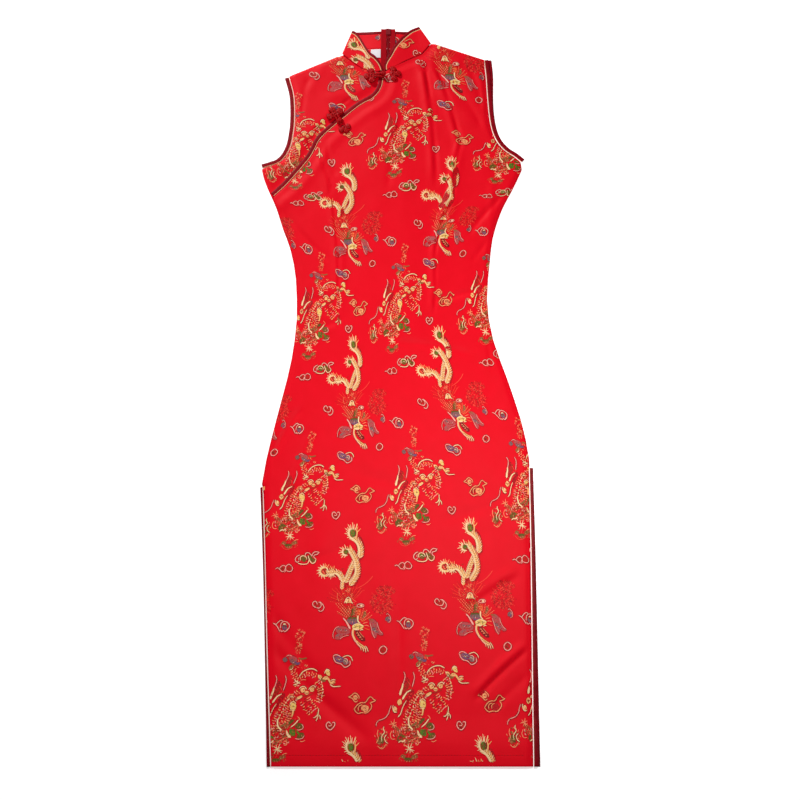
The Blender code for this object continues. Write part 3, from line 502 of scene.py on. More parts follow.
class Value:
    """A shader socket in an expression: operators make Math nodes, and node() makes any other node."""

    def __init__(self, tree, socket):
        self.tree = tree
        self.socket = socket

    def node(self, kind, inputs, output=0, **settings):
        made = self.tree.nodes.new("ShaderNode" + kind)
        for key, value in settings.items():
            setattr(made, key, value)
        for key, value in inputs.items():
            if isinstance(value, Value):
                self.tree.links.new(value.socket, made.inputs[key])
            else:
                made.inputs[key].default_value = value
        return Value(self.tree, made.outputs[output])

    def maths(self, operation, *others):
        terms = dict(enumerate((self, *others)))
        return self.node("Math", terms, operation=operation)

    def __add__(self, other):
        return self.maths("ADD", other)

    def __sub__(self, other):
        return self.maths("SUBTRACT", other)

    def __mul__(self, other):
        return self.maths("MULTIPLY", other)

    def __pow__(self, other):
        return self.maths("POWER", other)

    def __rsub__(self, other):
        return (self * -1.0) + other

    __radd__ = __add__
    __rmul__ = __mul__

    def wave(self):
        """0 to 1 and back for each 1 of the value."""
        return (self * (2 * math.pi)).maths("SINE") * 0.5 + 0.5

    def clamped(self):
        return self.node("Clamp", {0: self})

    def mixed(self, first, second):
        """A colour between first and second, by this value."""
        return self.node("Mix", {0: self, 6: first, 7: second}, output=2, data_type="RGBA")

    def split(self):
        """The three parts of a vector."""
        parts = self.node("SeparateXYZ", {0: self})
        return [Value(self.tree, socket) for socket in parts.socket.node.outputs]

    def stretched(self, *factors):
        """A vector with each part multiplied by its factor."""
        return self.node("VectorMath", {0: self, 1: factors}, operation="MULTIPLY")

    def noise(self, scale, detail=2.0):
        return self.node("TexNoise", {"Vector": self, "Scale": scale, "Detail": detail})


def linear(red, green, blue):
    """A colour given as 0 to 255 display values, as Blender's linear values."""
    return tuple(float((v / 255.0) ** 2.2) for v in (red, green, blue)) + (1.0,)


def finish_of(name, look, **constants):
    """A Principled material. look(place, along) returns its varying inputs, and its bump height in mm.

    place is the position in millimetres and along the piece's own marks; constants are set on the shader."""
    made = bpy.data.materials.new(name)
    made.use_nodes = True
    tree = made.node_tree
    shader = tree.nodes["Principled BSDF"]
    coordinates = tree.nodes.new("ShaderNodeTexCoord")
    place = Value(tree, coordinates.outputs["Object"])
    place = place.node("VectorMath", {0: place, "Scale": 1000.0}, operation="SCALE")
    along = Value(tree, coordinates.outputs["UV"])
    for key, value in constants.items():
        shader.inputs[key.replace("_", " ")].default_value = value
    inputs = look(place, along)
    height = inputs.pop("height", None)
    if height is not None:
        bump = place.node("Bump", {"Height": height, "Distance": MM, "Strength": 1.0})
        inputs["Normal"] = bump
    for key, value in inputs.items():
        if isinstance(value, Value):
            tree.links.new(value.socket, shader.inputs[key])
        else:
            shader.inputs[key].default_value = value
    return made


CRIMSON = linear(228, 4, 34)
DEEP_CRIMSON = linear(214, 0, 26)


def satin_look(place, along):
    """Warp satin: fine floats along Y, bound every fifth thread, with a faint slub."""
    x, y, _ = place.split()
    warp = (x * 3.1).wave()
    bound = ((x * 3.1).maths("FLOOR") * 0.4 + y * 0.62).wave() ** 6.0
    slub = place.noise(0.05, 4.0)
    fibre = place.stretched(2.4, 0.12, 1.0).noise(1.0)
    tone = (slub * 0.75 + fibre * 0.35 - bound * 0.12).clamped()
    return {
        "Base Color": tone.mixed(DEEP_CRIMSON, CRIMSON),
        "Roughness": fibre * 0.16 + 0.46,
        "height": warp * 0.012 + bound * -0.02 + fibre * 0.015 + slub * 0.25,
    }


def thread_look(place, along):
    """Weft floats of coloured silk in fine rows. Between the floats of a loosely covered place, where the
    thread's density is low, the red ground shows."""
    _, y, _ = place.split()
    colour = place.node("Attribute", {}, attribute_name="thread")
    density = place.node("Attribute", {}, output=3, attribute_name="thread")
    rows = (y * 1.9).wave()
    grain = place.stretched(0.5, 3.6, 1.0).noise(1.0)
    speckle = place.noise(0.75, 3.0)
    cover = ((density * 0.55 - speckle + 0.13) * 7.0 + 0.5).clamped()
    shade = (rows * 0.15 + grain * 0.45 + 0.42).clamped()
    dark = shade.node("Mix", {0: 0.5, 6: colour, 7: (0.1, 0.0, 0.005, 1.0)}, output=2, data_type="RGBA")
    return {
        "Base Color": cover.mixed(DEEP_CRIMSON, shade.mixed(dark, colour)),
        "Roughness": grain * 0.2 + 0.4,
        "height": rows * 0.05 + grain * 0.04,
    }


def bias_look(dark, light, pitch, depth):
    """Satin cut on the bias: a fine slanting rib, and soft puckers along the strip. Its colour goes between a
    shaded and a lit tone of the satin by the puckers and a fine mottle: painted light and shade.
    """

    def look(place, along):
        x, y, _ = place.split()
        rib = ((x + y) * pitch).wave()
        pucker = place.noise(0.16)
        # This mottle moves the colour between the shaded and lit tones: painted light and shade.
        wear_and_shade = place.noise(0.9, 4.0)
        tone = (pucker * 0.7 + wear_and_shade * 0.5 + rib * 0.12 - 0.2).clamped()
        return {
            "Base Color": tone.mixed(dark, light),
            "Roughness": wear_and_shade * 0.2 + 0.32,
            "height": rib * depth + pucker * 0.35 + wear_and_shade * 0.04,
        }

    return look


def cord_look(dark, light, turns, depth):
    """A cord covered in cloth: slanting wrinkles that go round it. Its colour is lighter on the wrinkles'
    ridges and darker in their grooves: painted light and shade.
    """

    def look(place, along):
        run, around, _ = along.split()
        twist = (run * turns + around).wave()
        grain = place.noise(1.6, 3.0)
        tone = (twist * 0.45 + grain * 0.6).clamped()
        return {
            "Base Color": tone.mixed(dark, light),
            "Roughness": grain * 0.2 + 0.33,
            "height": twist * depth + grain * 0.05,
        }

    return look


def tape_look(place, along):
    """Zip tape: narrow herringbone columns."""
    x, y, _ = place.split()
    column = (x * 0.55).maths("PINGPONG", 1.0)
    rib = (y * 1.6 + column * 1.2).wave()
    grain = place.noise(0.8, 3.0)
    tone = (rib * 0.35 + grain * 0.5 + column * 0.15).clamped()
    return {
        "Base Color": tone.mixed(linear(132, 0, 16), linear(180, 0, 30)),
        "Roughness": grain * 0.1 + 0.72,
        "height": rib * 0.06 + column * 0.05,
    }


def coil_look(place, along):
    """Dyed nylon, slightly mottled."""
    grain = place.noise(0.6)
    return {
        "Base Color": grain.mixed(linear(128, 0, 18), linear(168, 4, 32)),
        "Roughness": grain * 0.12 + 0.3,
        "height": grain * 0.02,
    }


def enamel_look(place, along):
    """Enamelled metal, rubbed to bare metal in specks on its faces."""
    wear_and_shade = place.noise(1.4, 5.0)
    specks = ((wear_and_shade - 0.66) * 9.0).clamped()
    return {
        "Base Color": specks.mixed(linear(122, 6, 24), linear(168, 120, 96)),
        "Metallic": specks * 0.9 + 0.05,
        "Roughness": wear_and_shade * 0.2 + 0.22,
        "height": wear_and_shade * 0.02,
    }


def ribbon_look(place, along):
    """The label's white ribbon: a fine plain weave, a little soiled."""
    x, y, _ = place.split()
    weave = (x * 2.2).wave() * (y * 2.2).wave()
    soil = place.noise(0.12, 4.0)
    tone = (weave * 0.4 + soil * 0.6).clamped()
    return {
        "Base Color": tone.mixed(linear(206, 198, 202), linear(247, 244, 246)),
        "Roughness": soil * 0.15 + 0.55,
        "height": weave * 0.04 + soil * 0.1,
    }


def floor_look(place, along):
    """White paint, slightly mottled."""
    grain = place.noise(0.02, 5.0)
    return {
        "Base Color": grain.mixed((0.92, 0.92, 0.92, 1.0), (0.95, 0.95, 0.95, 1.0)),
        "Roughness": grain * 0.1 + 0.85,
    }


SATIN = finish_of("red_satin", satin_look, Specular_IOR_Level=0.09)
THREAD = finish_of("brocade_thread", thread_look, Specular_IOR_Level=0.15)
# The binding satin's dark and light tones are its shaded and lit tones: painted shade and painted light.
BIAS_LOOK = bias_look(linear(98, 0, 16), linear(160, 0, 30), 1.7, 0.02)
BIAS = finish_of("binding_satin", BIAS_LOOK, Specular_IOR_Level=0.1)
# A darker copy of the binding satin for the slits: painted shade.
DEEP_BIAS_LOOK = bias_look(linear(84, 0, 14), linear(150, 0, 28), 1.7, 0.02)
DEEP_BIAS = finish_of("slit_binding_satin", DEEP_BIAS_LOOK, Specular_IOR_Level=0.08)
GILT_LOOK = cord_look(linear(230, 150, 100), linear(255, 208, 158), 0.42, 0.09)
GILT = finish_of("piping_satin", GILT_LOOK, Specular_IOR_Level=0.2)
# The frog cord's dark and light tones are its shaded tone and its highlight: painted shade and painted
# highlight.
ROULEAU_LOOK = cord_look(linear(118, 0, 8), linear(192, 0, 20), 0.24, 0.14)
ROULEAU = finish_of("frog_satin", ROULEAU_LOOK, Specular_IOR_Level=0.1)
TAPE = finish_of("zip_tape_weave", tape_look, Specular_IOR_Level=0.08)
COIL = finish_of("zip_coil_nylon", coil_look, Specular_IOR_Level=0.3)
ENAMEL = finish_of("slider_enamel", enamel_look)
RIBBON = finish_of("label_ribbon", ribbon_look)
FLOOR = finish_of(
    "floor_white", floor_look, Emission_Color=(1.0, 1.0, 1.0, 1.0), Emission_Strength=0.55
)


# -------- drafting panels


def rows_between(left, right, columns, height, bow=0.0):
    """Points in straight rows between matching points of two edges, each at its height. bow bends a row."""
    across = np.linspace(0.0, 1.0, columns)[None, :]
    x = left[:, :1] + (right[:, :1] - left[:, :1]) * across
    y = left[:, 1:] + (right[:, 1:] - left[:, 1:]) * across
    y = y + np.reshape(bow, (-1, 1)) * 4 * across * (1 - across)
    return np.stack([x, y, height(x, y)], axis=2)


def with_hem(grid, turned):
    """The grid with its cloth turned up at the hem, above (+1) or below (-1) the panel."""
    radius = (CLOTH + GAP) / 2
    centre_y = HEM_Y + radius + CLOTH / 2
    edge = grid[0]
    places = [(y, 2 * radius * turned) for y in np.linspace(HEM_Y + HEM_DEPTH, centre_y, 6)]
    for angle in np.radians([60.0, 30.0, 0.0, -30.0, -60.0, -90.0]):
        places.append((centre_y - radius * math.cos(angle), radius * turned * (1 + math.sin(angle))))
    rows = [np.column_stack([edge[:, 0], np.full(len(edge), y), edge[:, 2] + rise]) for y, rise in places]
    return np.concatenate([np.array(rows), grid])


FIRST_ROW = -604.0
SLIT_TOPS = (-202.0, -199.5, -172.0, -169.5)  # where each slit ends, and where the side seam starts


def levels(low, high, step, *exact):
    """Heights from low to high about a step apart, with the exact ones among them."""
    even = np.linspace(low, high, int(round((high - low) / step)) + 1)
    for value in exact:
        even[np.abs(even - value).argmin()] = value
    return even


def edge_points(x_of, rows):
    return np.column_stack([x_of(rows), rows])


def front_grid():
    line = to_left(PLACKET_LINE, -(PIPING / 2 + 2 * GAP))
    neck = points_of(NECK_RIGHT)
    below = LEFT_SIDE[0] < line[0, 1] - 1
    left_y = np.concatenate([LEFT_SIDE[0][below], line[:, 1], neck[1:, 1]])
    left_x = np.concatenate([LEFT_SIDE[1][below], line[:, 0], neck[1:, 0]])
    rows = levels(FIRST_ROW, 578.0, 3.5, *SLIT_TOPS)
    left = edge_points(lambda y: np.interp(y, left_y, left_x), rows)
    right = edge_points(right_edge, rows)
    return rows_between(left, right, 128, lambda x, y: placket_height(x, y) + creased(x, y))


def upper_front_grid():
    line = to_left(PLACKET_LINE, -UNDERLAP)
    line = line[line[:, 1] < 519.0]
    neck = points_of(NECK_LEFT)
    right_y = np.concatenate([line[:, 1], neck[:, 1]])
    right_x = np.concatenate([line[:, 0], neck[:, 0]])
    rows = levels(284.0, 553.0, 2.8)
    left = edge_points(left_edge, rows)
    right = edge_points(lambda y: np.interp(y, right_y, right_x), rows)
    return rows_between(left, right, 72, lambda x, y: front_height(x, y) + creased(x, y))


FAN_ROWS = 17
FAN_FOOT = 514.0  # where the fan of rows below the shoulder starts on the centre seam
NAPE_Y = 566.8


def back_grid(side):
    """Half of the back, whose top rows fan from the centre seam to the sloping shoulder."""
    edge_of, tip, neck, bow = {
        "left": (left_edge, SHOULDER_LEFT, (-89.5, 555.6), 5.0),
        "right": (right_edge, SHOULDER_RIGHT, (66.2, 577.8), -4.0),
    }[side]
    sign = -1.0 if side == "left" else 1.0
    centre_x = ZIP_X + sign * 0.6
    rows = levels(FIRST_ROW, 512.0 if side == "left" else 528.0, 6.0, *SLIT_TOPS)
    steps = np.linspace(0.0, 1.0, FAN_ROWS)
    start = np.array([tip["x"][0], tip["y"][0]])
    outer_top = start + (np.array(neck) - start) * steps[:, None]
    inner_top = np.column_stack([np.full(FAN_ROWS, centre_x), FAN_FOOT + (NAPE_Y - FAN_FOOT) * steps])
    crowded = FAN_FOOT - 7.0
    inner_rows = np.where(rows > crowded, crowded + 0.05 * (rows - crowded), rows)
    outer = np.concatenate([edge_points(edge_of, rows), outer_top])
    inner = np.concatenate([np.column_stack([np.full(len(rows), centre_x), inner_rows]), inner_top])
    bows = np.concatenate([np.zeros(len(rows)), bow * steps**2])
    left, right = (outer, inner) if sign < 0 else (inner, outer)
    return rows_between(left, right, 40, lambda x, y: back_height(x, y) + BACK_RAISED, bows)


def collar_sections(wing, nape):
    """Rows of bottom, top and binding, with a level of 1 on the wing and 0 on the nape, and a round fold."""
    names = ["bottom_x", "bottom_y", "top_x", "top_y", "binding"]
    front = through(np.column_stack([wing[name] for name in names]), 73)
    back = through(np.column_stack([nape[name] for name in names]), 29)
    run = front[-1, 2:4] - front[-1, 0:2]
    away = np.array([run[1], -run[0]]) / np.linalg.norm(run)
    away = away * np.sign(away[0] * front[-1, 0])
    top = front[-1, 2:4]
    radius = (layer_height(*top) - COLLAR / 2 - back_arch(*top)) / 2
    rows = [np.append(row, 1.0) for row in front]
    for angle in np.linspace(0.0, math.pi, FOLD_STEPS + 2)[1:-1]:
        part = (1 - math.cos(angle)) / 2
        row = front[-1] * (1 - part) + back[0] * part
        row[0:4] += np.tile(away * radius * math.sin(angle), 2)
        rows.append(np.append(row, 1.0 - part))
    rows += [np.append(row, 0.0) for row in back]
    return np.array(rows)


def collar_band(sections, low, high, columns):
    """Grid of points on the collar between two distances beyond the top seam. With low None the band starts
    on the neck seam, and with high None it ends at the binding's outer edge."""
    bottom = sections[:, 0:2]
    top = sections[:, 2:4]
    level = sections[:, 5:6]
    up = (top - bottom) / np.linalg.norm(top - bottom, axis=1)[:, None]
    start = bottom if low is None else top + up * low
    end = top + up * (sections[:, 4:5] + low if high is None else high)

    def height(x, y):
        front = layer_height(x, y) + (COLLAR - CLOTH) / 2
        back = COLLAR / 2 + back_arch(x, y)
        return back + (front - back) * level

    return rows_between(start, end, columns, height)


# -------- the pattern


def direction(degrees):
    return np.array([math.cos(math.radians(degrees)), math.sin(math.radians(degrees))])


REPEAT_WIDTH = 182.0
REPEAT_HEIGHT = 305.0
# The red of 150, 2, 12 is a dark silk of the pattern that is also laid wide under the plumes and fins as
# painted shade. shade, the same red, is painted shade round the pale strokes.
SILKS = {
    "cream": linear(255, 220, 164), "gold": linear(255, 190, 116), "yellow": linear(250, 208, 112),
    "peach": linear(255, 152, 104), "amber": linear(255, 164, 108), "orange": linear(250, 96, 48),
    "pink": linear(255, 176, 158), "blush": linear(250, 72, 56), "green": linear(58, 126, 30),
    "olive": linear(84, 88, 26), "moss": linear(146, 96, 52), "rust": linear(170, 40, 18),
    "brown": linear(112, 34, 16), "maroon": linear(116, 6, 16), "dusk": linear(150, 2, 12),
    "shade": linear(150, 2, 12), "slate": linear(112, 98, 98), "violet": linear(104, 78, 112),
    "mauve": linear(188, 78, 80),
}
# One repeat, drawn about a phoenix's shoulder, in millimetres to the right and up: silk, width, points. A
# width in two parts tapers from the first to the last point.
PHOENIX = (
    ("moss", 4.0, (-4, 4), (-3, 10), (-1, 15)),
    ("olive", 2.4, (-7, 3), (-5, 8), (-5, 13)),
    ("orange", 4.4, (4, 4), (5, 8), (4, 12)),
    ("moss", 4.0, (10, 1), (13, 5), (13, 10)),
    ("slate", 9.0, (-11, -3.4), (-6, -4.5), (1, -3.5)),
    ("violet", 4.8, (-9, -6.8), (-5, -7.4), (0, -6.4)),
    ("olive", 2.6, (-12, -0.6), (-5, 0), (1, -0.6)),
    ("pink", (1.4, 2.8), (-19, -0.5), (-15, -5), (-12, -10), (-9, -15.5)),
    ("mauve", 11.5, (-27, -18), (-22, -18), (-16, -19), (-12, -20)),
    ("slate", 4.4, (-27, -16), (-21, -17.4), (-14, -18)),
    ("mauve", 8.0, (-29, -29), (-26, -27), (-21, -24.6)),
    ("slate", 3.0, (-29, -27), (-26, -25), (-21, -23.4)),
    ("rust", 1.0, (-24, -21), (-19, -21.6), (-14, -20)),
    ("mauve", 7.0, (21, -3), (25, -5), (28, -9), (29, -14)),
    ("moss", 3.4, (19, -2), (23, -3), (26, -6)),
    ("mauve", 7.0, (22, -10), (26, -12), (30, -12)),
    ("slate", 6.4, (24, -14), (28, -17), (32, -20)),
    ("mauve", 5.0, (29, -17), (34, -20.4), (38.6, -23)),
    ("mauve", 6.6, (25, -19), (27, -23), (28.4, -26.6)),
    ("pink", 0.8, (20, -6), (22, -13), (24, -21), (28, -29)),
    ("pink", 0.8, (31, -6), (32.6, -13), (36, -19), (39.6, -22)),
    ("pink", 0.8, (-33, -30), (-34, -24), (-31, -16), (-25, -12)),
    ("pink", 0.8, (-24, -31), (-18, -27), (-10, -25)),
    ("maroon", 7.4, (1, -20), (5, -25), (9, -29), (12, -31.4)),
    ("brown", 5.0, (1, -20), (5, -26), (9, -30)),
    ("peach", 1.0, (1.6, -20), (4, -24), (8, -28)),
    ("peach", 0.9, (5, -20), (8, -24), (12, -28)),
    ("yellow", 7.4, (-4, -12.4), (0, -12.6), (5, -12.5), (9, -12.4)),
    ("cream", 2.4, (-5, -14.6), (-1, -16.5), (4, -16.4)),
    ("cream", 1.5, (-5, -11.6), (-1, -9.0), (2, -8), (6, -9.4), (11, -11.5)),
    ("moss", 1.0, (-5, -14.6), (-1, -13.8), (3, -11.9), (9, -12.4)),
    ("brown", 0.9, (-3, -10.4), (-1, -12.4), (-2, -14)),
    ("brown", 0.9, (4.6, -10.4), (6.0, -12.6), (5, -15)),
    ("cream", 1.6, (6, -18), (8.5, -16.5), (10.5, -17)),
    ("cream", (2.4, 1.4), (3, 3.4), (2.4, -1), (3, -5), (6, -8)),
    ("gold", (3.0, 2.0), (-4, -16), (-5, -21), (-3.5, -27), (0, -33)),
    ("pink", 1.2, (-5.4, -18), (-6, -23), (-4, -29), (-1, -34)),
    ("gold", (3.0, 4.4), (0, -33), (4, -37), (9, -40.6), (13, -42.6)),
    ("pink", 1.1, (-1, -33), (3, -38.6), (8, -43)),
    ("moss", 1.0, (3, -35.6), (8, -39.6), (13, -42.6)),
    ("cream", 1.4, (13, -41), (14.4, -45), (15, -49)),
    ("cream", 1.4, (14.4, -40), (17, -44), (18.4, -48)),
    ("cream", 1.3, (10, -42), (11.2, -45), (11.6, -48)),
    ("cream", 1.2, (6, -40), (7.4, -43), (8, -46)),
    ("orange", 1.3, (8, -5), (12, -3.5), (16, -1.5)),
    ("peach", 1.2, (10, -8), (14, -6.5), (17, -6)),
    ("orange", 1.3, (12, -14), (16, -16), (20, -17)),
    ("peach", 1.2, (12, -11), (16, -10.5), (19, -12)),
    ("gold", 6.0, (-14, 23.4), (-11, 25.4), (-8, 23.4)),
    ("cream", 1.6, (-17.4, 21.6), (-15.4, 25), (-14, 28.4), (-11, 30.4)),
    ("cream", 1.6, (-11, 30.4), (-8, 28), (-7, 24.4), (-4.8, 21)),
    ("cream", 1.3, (-14, 21.4), (-13, 25), (-11.4, 27.4)),
    ("moss", 1.1, (-12, 22), (-11.2, 24.6), (-9.6, 22)),
    ("pink", 1.2, (1, 17), (4, 20), (9, 20.5), (12.4, 18.2), (9, 16), (4, 16), (1, 17)),
    ("cream", 3.0, (7, 18.2), (9.4, 18.2)),
    ("slate", 7.0, (45, -2), (47, -1), (48, 1)),
    ("violet", 3.0, (47, -4), (48.4, -2)),
    ("pink", 0.9, (45, 5), (46.5, 7), (49, 5), (51, 1), (50.5, -4), (47, -6)),
    ("blush", (1.0, 1.6), (1, 43), (8, 46), (16, 51), (23, 57), (27, 62)),
)
CLOUDS = (
    ("slate", 9.4, (75.6, -8), (77, -7.4), (78, -7)),
    ("violet", 4.0, (74, -9.5), (77, -10.5), (80, -9.5)),
    ("cream", 2.0, (75.4, -4.6), (77, -4), (78.6, -4.6)),
    ("maroon", 0.9, (73.6, -7), (76, -6), (78, -8), (80.6, -7)),
    ("pink", 1.4, (71, -10), (71.5, -4), (75, -0.6), (80, -1), (84, -5), (83.4, -10), (79.6, -14.4)),
    ("pink", 1.4, (71.5, -12), (73.5, -14.8), (76, -13), (78, -15.2), (80.5, -12.6), (82.5, -10.5)),
    ("pink", 1.4, (60, -3), (63, -4.2), (66.5, -8), (69, -12), (71, -14.6)),
    ("pink", 1.4, (64, -5), (67, -2), (70, 0.8), (73.5, 1.2), (75, -1)),
    ("rust", 5.6, (38.6, -44), (40, -45), (41.4, -46)),
    ("brown", 2.6, (38, -45.4), (40, -46.6)),
    ("pink", 1.5, (40, -39.4), (36, -42.4), (34.8, -46), (36.6, -49.6), (40.4, -50.8)),
    ("pink", 1.5, (40.4, -50.8), (44.6, -48), (45.8, -43.4), (43, -40.4), (40, -39.4)),
    ("violet", 8.6, (-28, -58.6), (-23, -60), (-19, -61)),
    ("slate", 8.6, (-17, -62.6), (-14.5, -63.6), (-12, -64)),
    ("slate", 4.4, (-30, -57), (-28, -58), (-26, -60)),
    ("maroon", 1.0, (-27, -61), (-24, -58.6), (-21, -62), (-18, -60.6)),
    ("cream", 1.0, (-26, -58.4), (-23.6, -60.4), (-21.4, -58.6)),
    ("cream", 1.0, (-18, -62.6), (-15.6, -61.4), (-13.6, -63.6)),
    ("pink", 1.5, (-32.6, -56), (-31, -61), (-28, -64.4), (-24, -65.5), (-21, -66.5), (-18.6, -69)),
    ("pink", 1.5, (-18.6, -69), (-15.5, -71), (-11, -69.4), (-7.6, -66), (-8.4, -61.4)),
    ("pink", 1.3, (-13, -64.5), (-11.6, -61), (-14, -58.6), (-17, -59.5)),
    ("cream", 1.4, (-19, -57), (-15, -55), (-10, -54.4), (-6, -57.4), (-4.4, -61.6)),
    ("pink", 1.4, (-33, -55.6), (-30, -53.4), (-26, -53.8), (-22, -56)),
    ("amber", 8.6, (0, -112), (2.4, -113)),
    ("amber", 1.5, (-9, -112.4), (-4.6, -110), (-1, -107), (2, -106.8), (6.4, -110.6), (6.6, -114)),
    ("amber", 1.4, (-8, -113), (-4, -113.4), (-1, -116.4), (1.8, -118.4), (5, -116.6)),
    ("moss", 1.3, (0.4, -111.4), (1.8, -113.4)),
    ("moss", 1.1, (3.4, -114.6), (4.2, -113.4)),
    ("brown", 1.4, (4.4, -129.4), (3.8, -126.4), (6, -123), (10, -121)),
    ("brown", 1.3, (8.6, -128), (8.6, -125.4), (10.4, -123.6)),
    ("amber", 10.4, (14, -127), (17, -126.6), (19, -125.6)),
    ("amber", 1.5, (0, -128), (2.6, -131.4), (6.4, -133.4), (10, -132.4), (14, -132)),
    ("amber", 1.5, (0, -128), (2.6, -124.4), (6, -121), (10, -119), (14, -119)),
    ("amber", 1.4, (6.4, -130), (6, -126), (8, -122.8), (12, -121.8)),
    ("amber", 1.3, (11, -129), (11, -125), (13.4, -122.6), (17, -122.6), (20, -125)),
    ("brown", 0.9, (13, -127), (15, -125.2), (17.4, -127)),
    ("moss", 1.1, (16, -129.4), (19, -128)),
    ("amber", 1.4, (14, -132), (18, -132.4), (22.4, -129.4), (25.6, -125), (25.4, -121.4), (23.2, -118.8)),
    ("amber", 1.4, (13, -119.4), (17, -117.8), (19.6, -114), (22.6, -110.8), (25.6, -111.4)),
    ("amber", 1.5, (25.6, -111.4), (28, -114), (31.4, -115), (28, -117), (23.2, -118.6)),
    ("rust", 4.6, (154.6, -143.6), (156.6, -145.6)),
    ("rust", 3.4, (159, -146.6), (161, -143)),
    ("brown", 1.6, (156, -147.2), (159, -147.6)),
    ("pink", 1.6, (157.4, -141.8), (154.8, -139.6), (151.8, -142), (152.2, -146.4), (155.4, -149.8)),
    ("pink", 1.6, (155.4, -149.8), (158.4, -150.6), (162, -147.4), (164, -143), (162.6, -139.8),
     (160, -140.8)),
    ("pink", 1.3, (157.4, -141.8), (159.4, -143.4), (157.4, -145.4), (154.8, -144.6)),
    ("olive", 9.6, (103.6, -212.4), (106, -213.6), (107, -213)),
    ("brown", 3.6, (110.6, -214.6), (111.6, -211.6), (110.6, -208.6)),
    ("olive", 5.4, (115.4, -208), (116.6, -212), (118, -215.4)),
    ("olive", 5.4, (118.6, -216.4), (121.4, -214)),
    ("green", 3.4, (103, -210.6), (106, -211)),
    ("green", 2.0, (115.6, -209), (116.4, -213)),
    ("cream", 1.0, (102.6, -213.6), (105, -211.6), (107.6, -213.6)),
    ("pink", 1.5, (98, -216), (95.4, -218), (92.2, -215.6), (92.6, -211.4), (96, -208), (99.4, -206.8)),
    ("pink", 1.3, (98.4, -214.6), (96.6, -212.6), (98.6, -210.8)),
    ("cream", 1.5, (96.4, -219.4), (102, -220.8), (108, -220.8), (112.2, -218.8), (113, -214.8)),
    ("cream", 1.5, (100.2, -215), (100, -210.6), (103, -208), (107, -208.6), (109.6, -210.6), (110, -214)),
    ("pink", 1.5, (107.4, -208), (108.4, -204.4), (112, -203), (115.4, -205), (118, -208.6)),
    ("cream", 1.6, (112, -207.6), (113.4, -212), (115.4, -217), (119, -219.6), (123.2, -217.4),
     (124.4, -213)),
    ("pink", 1.5, (118, -209), (119.4, -205), (123.4, -201.8), (129.6, -202.6)),
    ("pink", 1.5, (129.6, -202.6), (126.6, -205.8), (122, -206.8), (121, -210), (124.2, -213)),
    ("rust", 5.4, (70.4, -228), (73, -226.4)),
    ("rust", 6.0, (81, -226.4), (83, -227.6)),
    ("brown", 1.6, (71, -228), (73.4, -226.6)),
    ("pink", 1.3, (61.6, -228), (64.6, -226.2), (68, -228.6), (71, -231.6), (74.6, -232)),
    ("pink", 1.3, (67.6, -227.4), (70, -224.2), (74.6, -222.6), (77.4, -225.4), (76, -229), (74.4, -231.4)),
    ("pink", 1.3, (75.4, -233), (77.6, -229.6), (77, -226), (79, -222.6), (82.6, -221), (86.6, -224)),
    ("pink", 1.4, (86.6, -224), (88, -228), (85.6, -231.4), (81.6, -231.6), (78.4, -230.4)),
    ("rust", 4.6, (122, -281), (124.6, -282.6)),
    ("rust", 4.6, (128, -279), (129.4, -282.6)),
    ("brown", 1.5, (121.6, -281.6), (123.8, -279.2)),
    ("pink", 1.4, (125.8, -280.4), (124.4, -276.6), (121.4, -276), (118.8, -279), (120, -283),
     (124.4, -285.4)),
    ("pink", 1.4, (124.4, -285.4), (129, -285.6), (131.6, -282), (130.4, -278), (127.4, -277.2)),
    ("pink", 1.4, (129.6, -276.6), (133.4, -280), (135.8, -285), (133.4, -289.4), (130, -290.6),
     (127, -288.6)),
)
# Wide dark red strokes under the tail plumes: painted shade round them.
TAIL_SHADE = (
    ("dusk", 14.0, (-6, -176), (-3, -181), (1, -186)),
    ("dusk", 13.0, (1, -184), (6, -192), (9, -202), (8, -216)),
    ("dusk", 12.0, (-16, -207), (-11, -206), (-6, -206)),
    ("dusk", 12.0, (-6, -206), (1, -218), (4, -230), (2, -244), (-6, -256)),
    ("dusk", 10.0, (-4, -228), (-10, -242), (-16, -256)),
    ("dusk", 13.0, (-50, -238), (-40, -238), (-30, -239)),
    ("dusk", 9.0, (-30, -238), (-20, -246), (-20, -260)),
)
EYES = (
    ("cream", 2.4, (-9.0, -173), (-10.0, -179), (-8.0, -185.4), (-2.6, -188)),
    ("gold", 2.0, (2.6, -175), (3.0, -180), (2.0, -186)),
    ("olive", 9.6, (-3.8, -176.4), (-3.4, -179.6), (-2.8, -183)),
    ("green", 7.0, (-4.4, -175.6), (-4.0, -179), (-3.4, -183.4)),
    ("maroon", 1.0, (-0.4, -176), (0.4, -180), (-0.8, -185)),
    ("cream", 2.2, (-17.6, -203), (-19.4, -207.4), (-17, -211.6), (-12, -212.6)),
    ("olive", 8.0, (-15.2, -207), (-13.6, -207.4), (-12, -207.6)),
    ("green", 5.0, (-15.6, -206.4), (-14.6, -207.4), (-13.4, -208.4)),
    ("gold", 3.0, (-44, -243), (-50, -242.4), (-54, -237.6), (-51.6, -232), (-46.4, -230.6)),
    ("cream", 2.0, (-42, -235), (-43.4, -232.4), (-46, -230.4)),
    ("blush", 5.8, (-49, -235.2), (-47.8, -237), (-46.6, -239)),
    ("brown", 1.8, (-49.4, -234), (-46.8, -236), (-45.6, -239.6)),
)
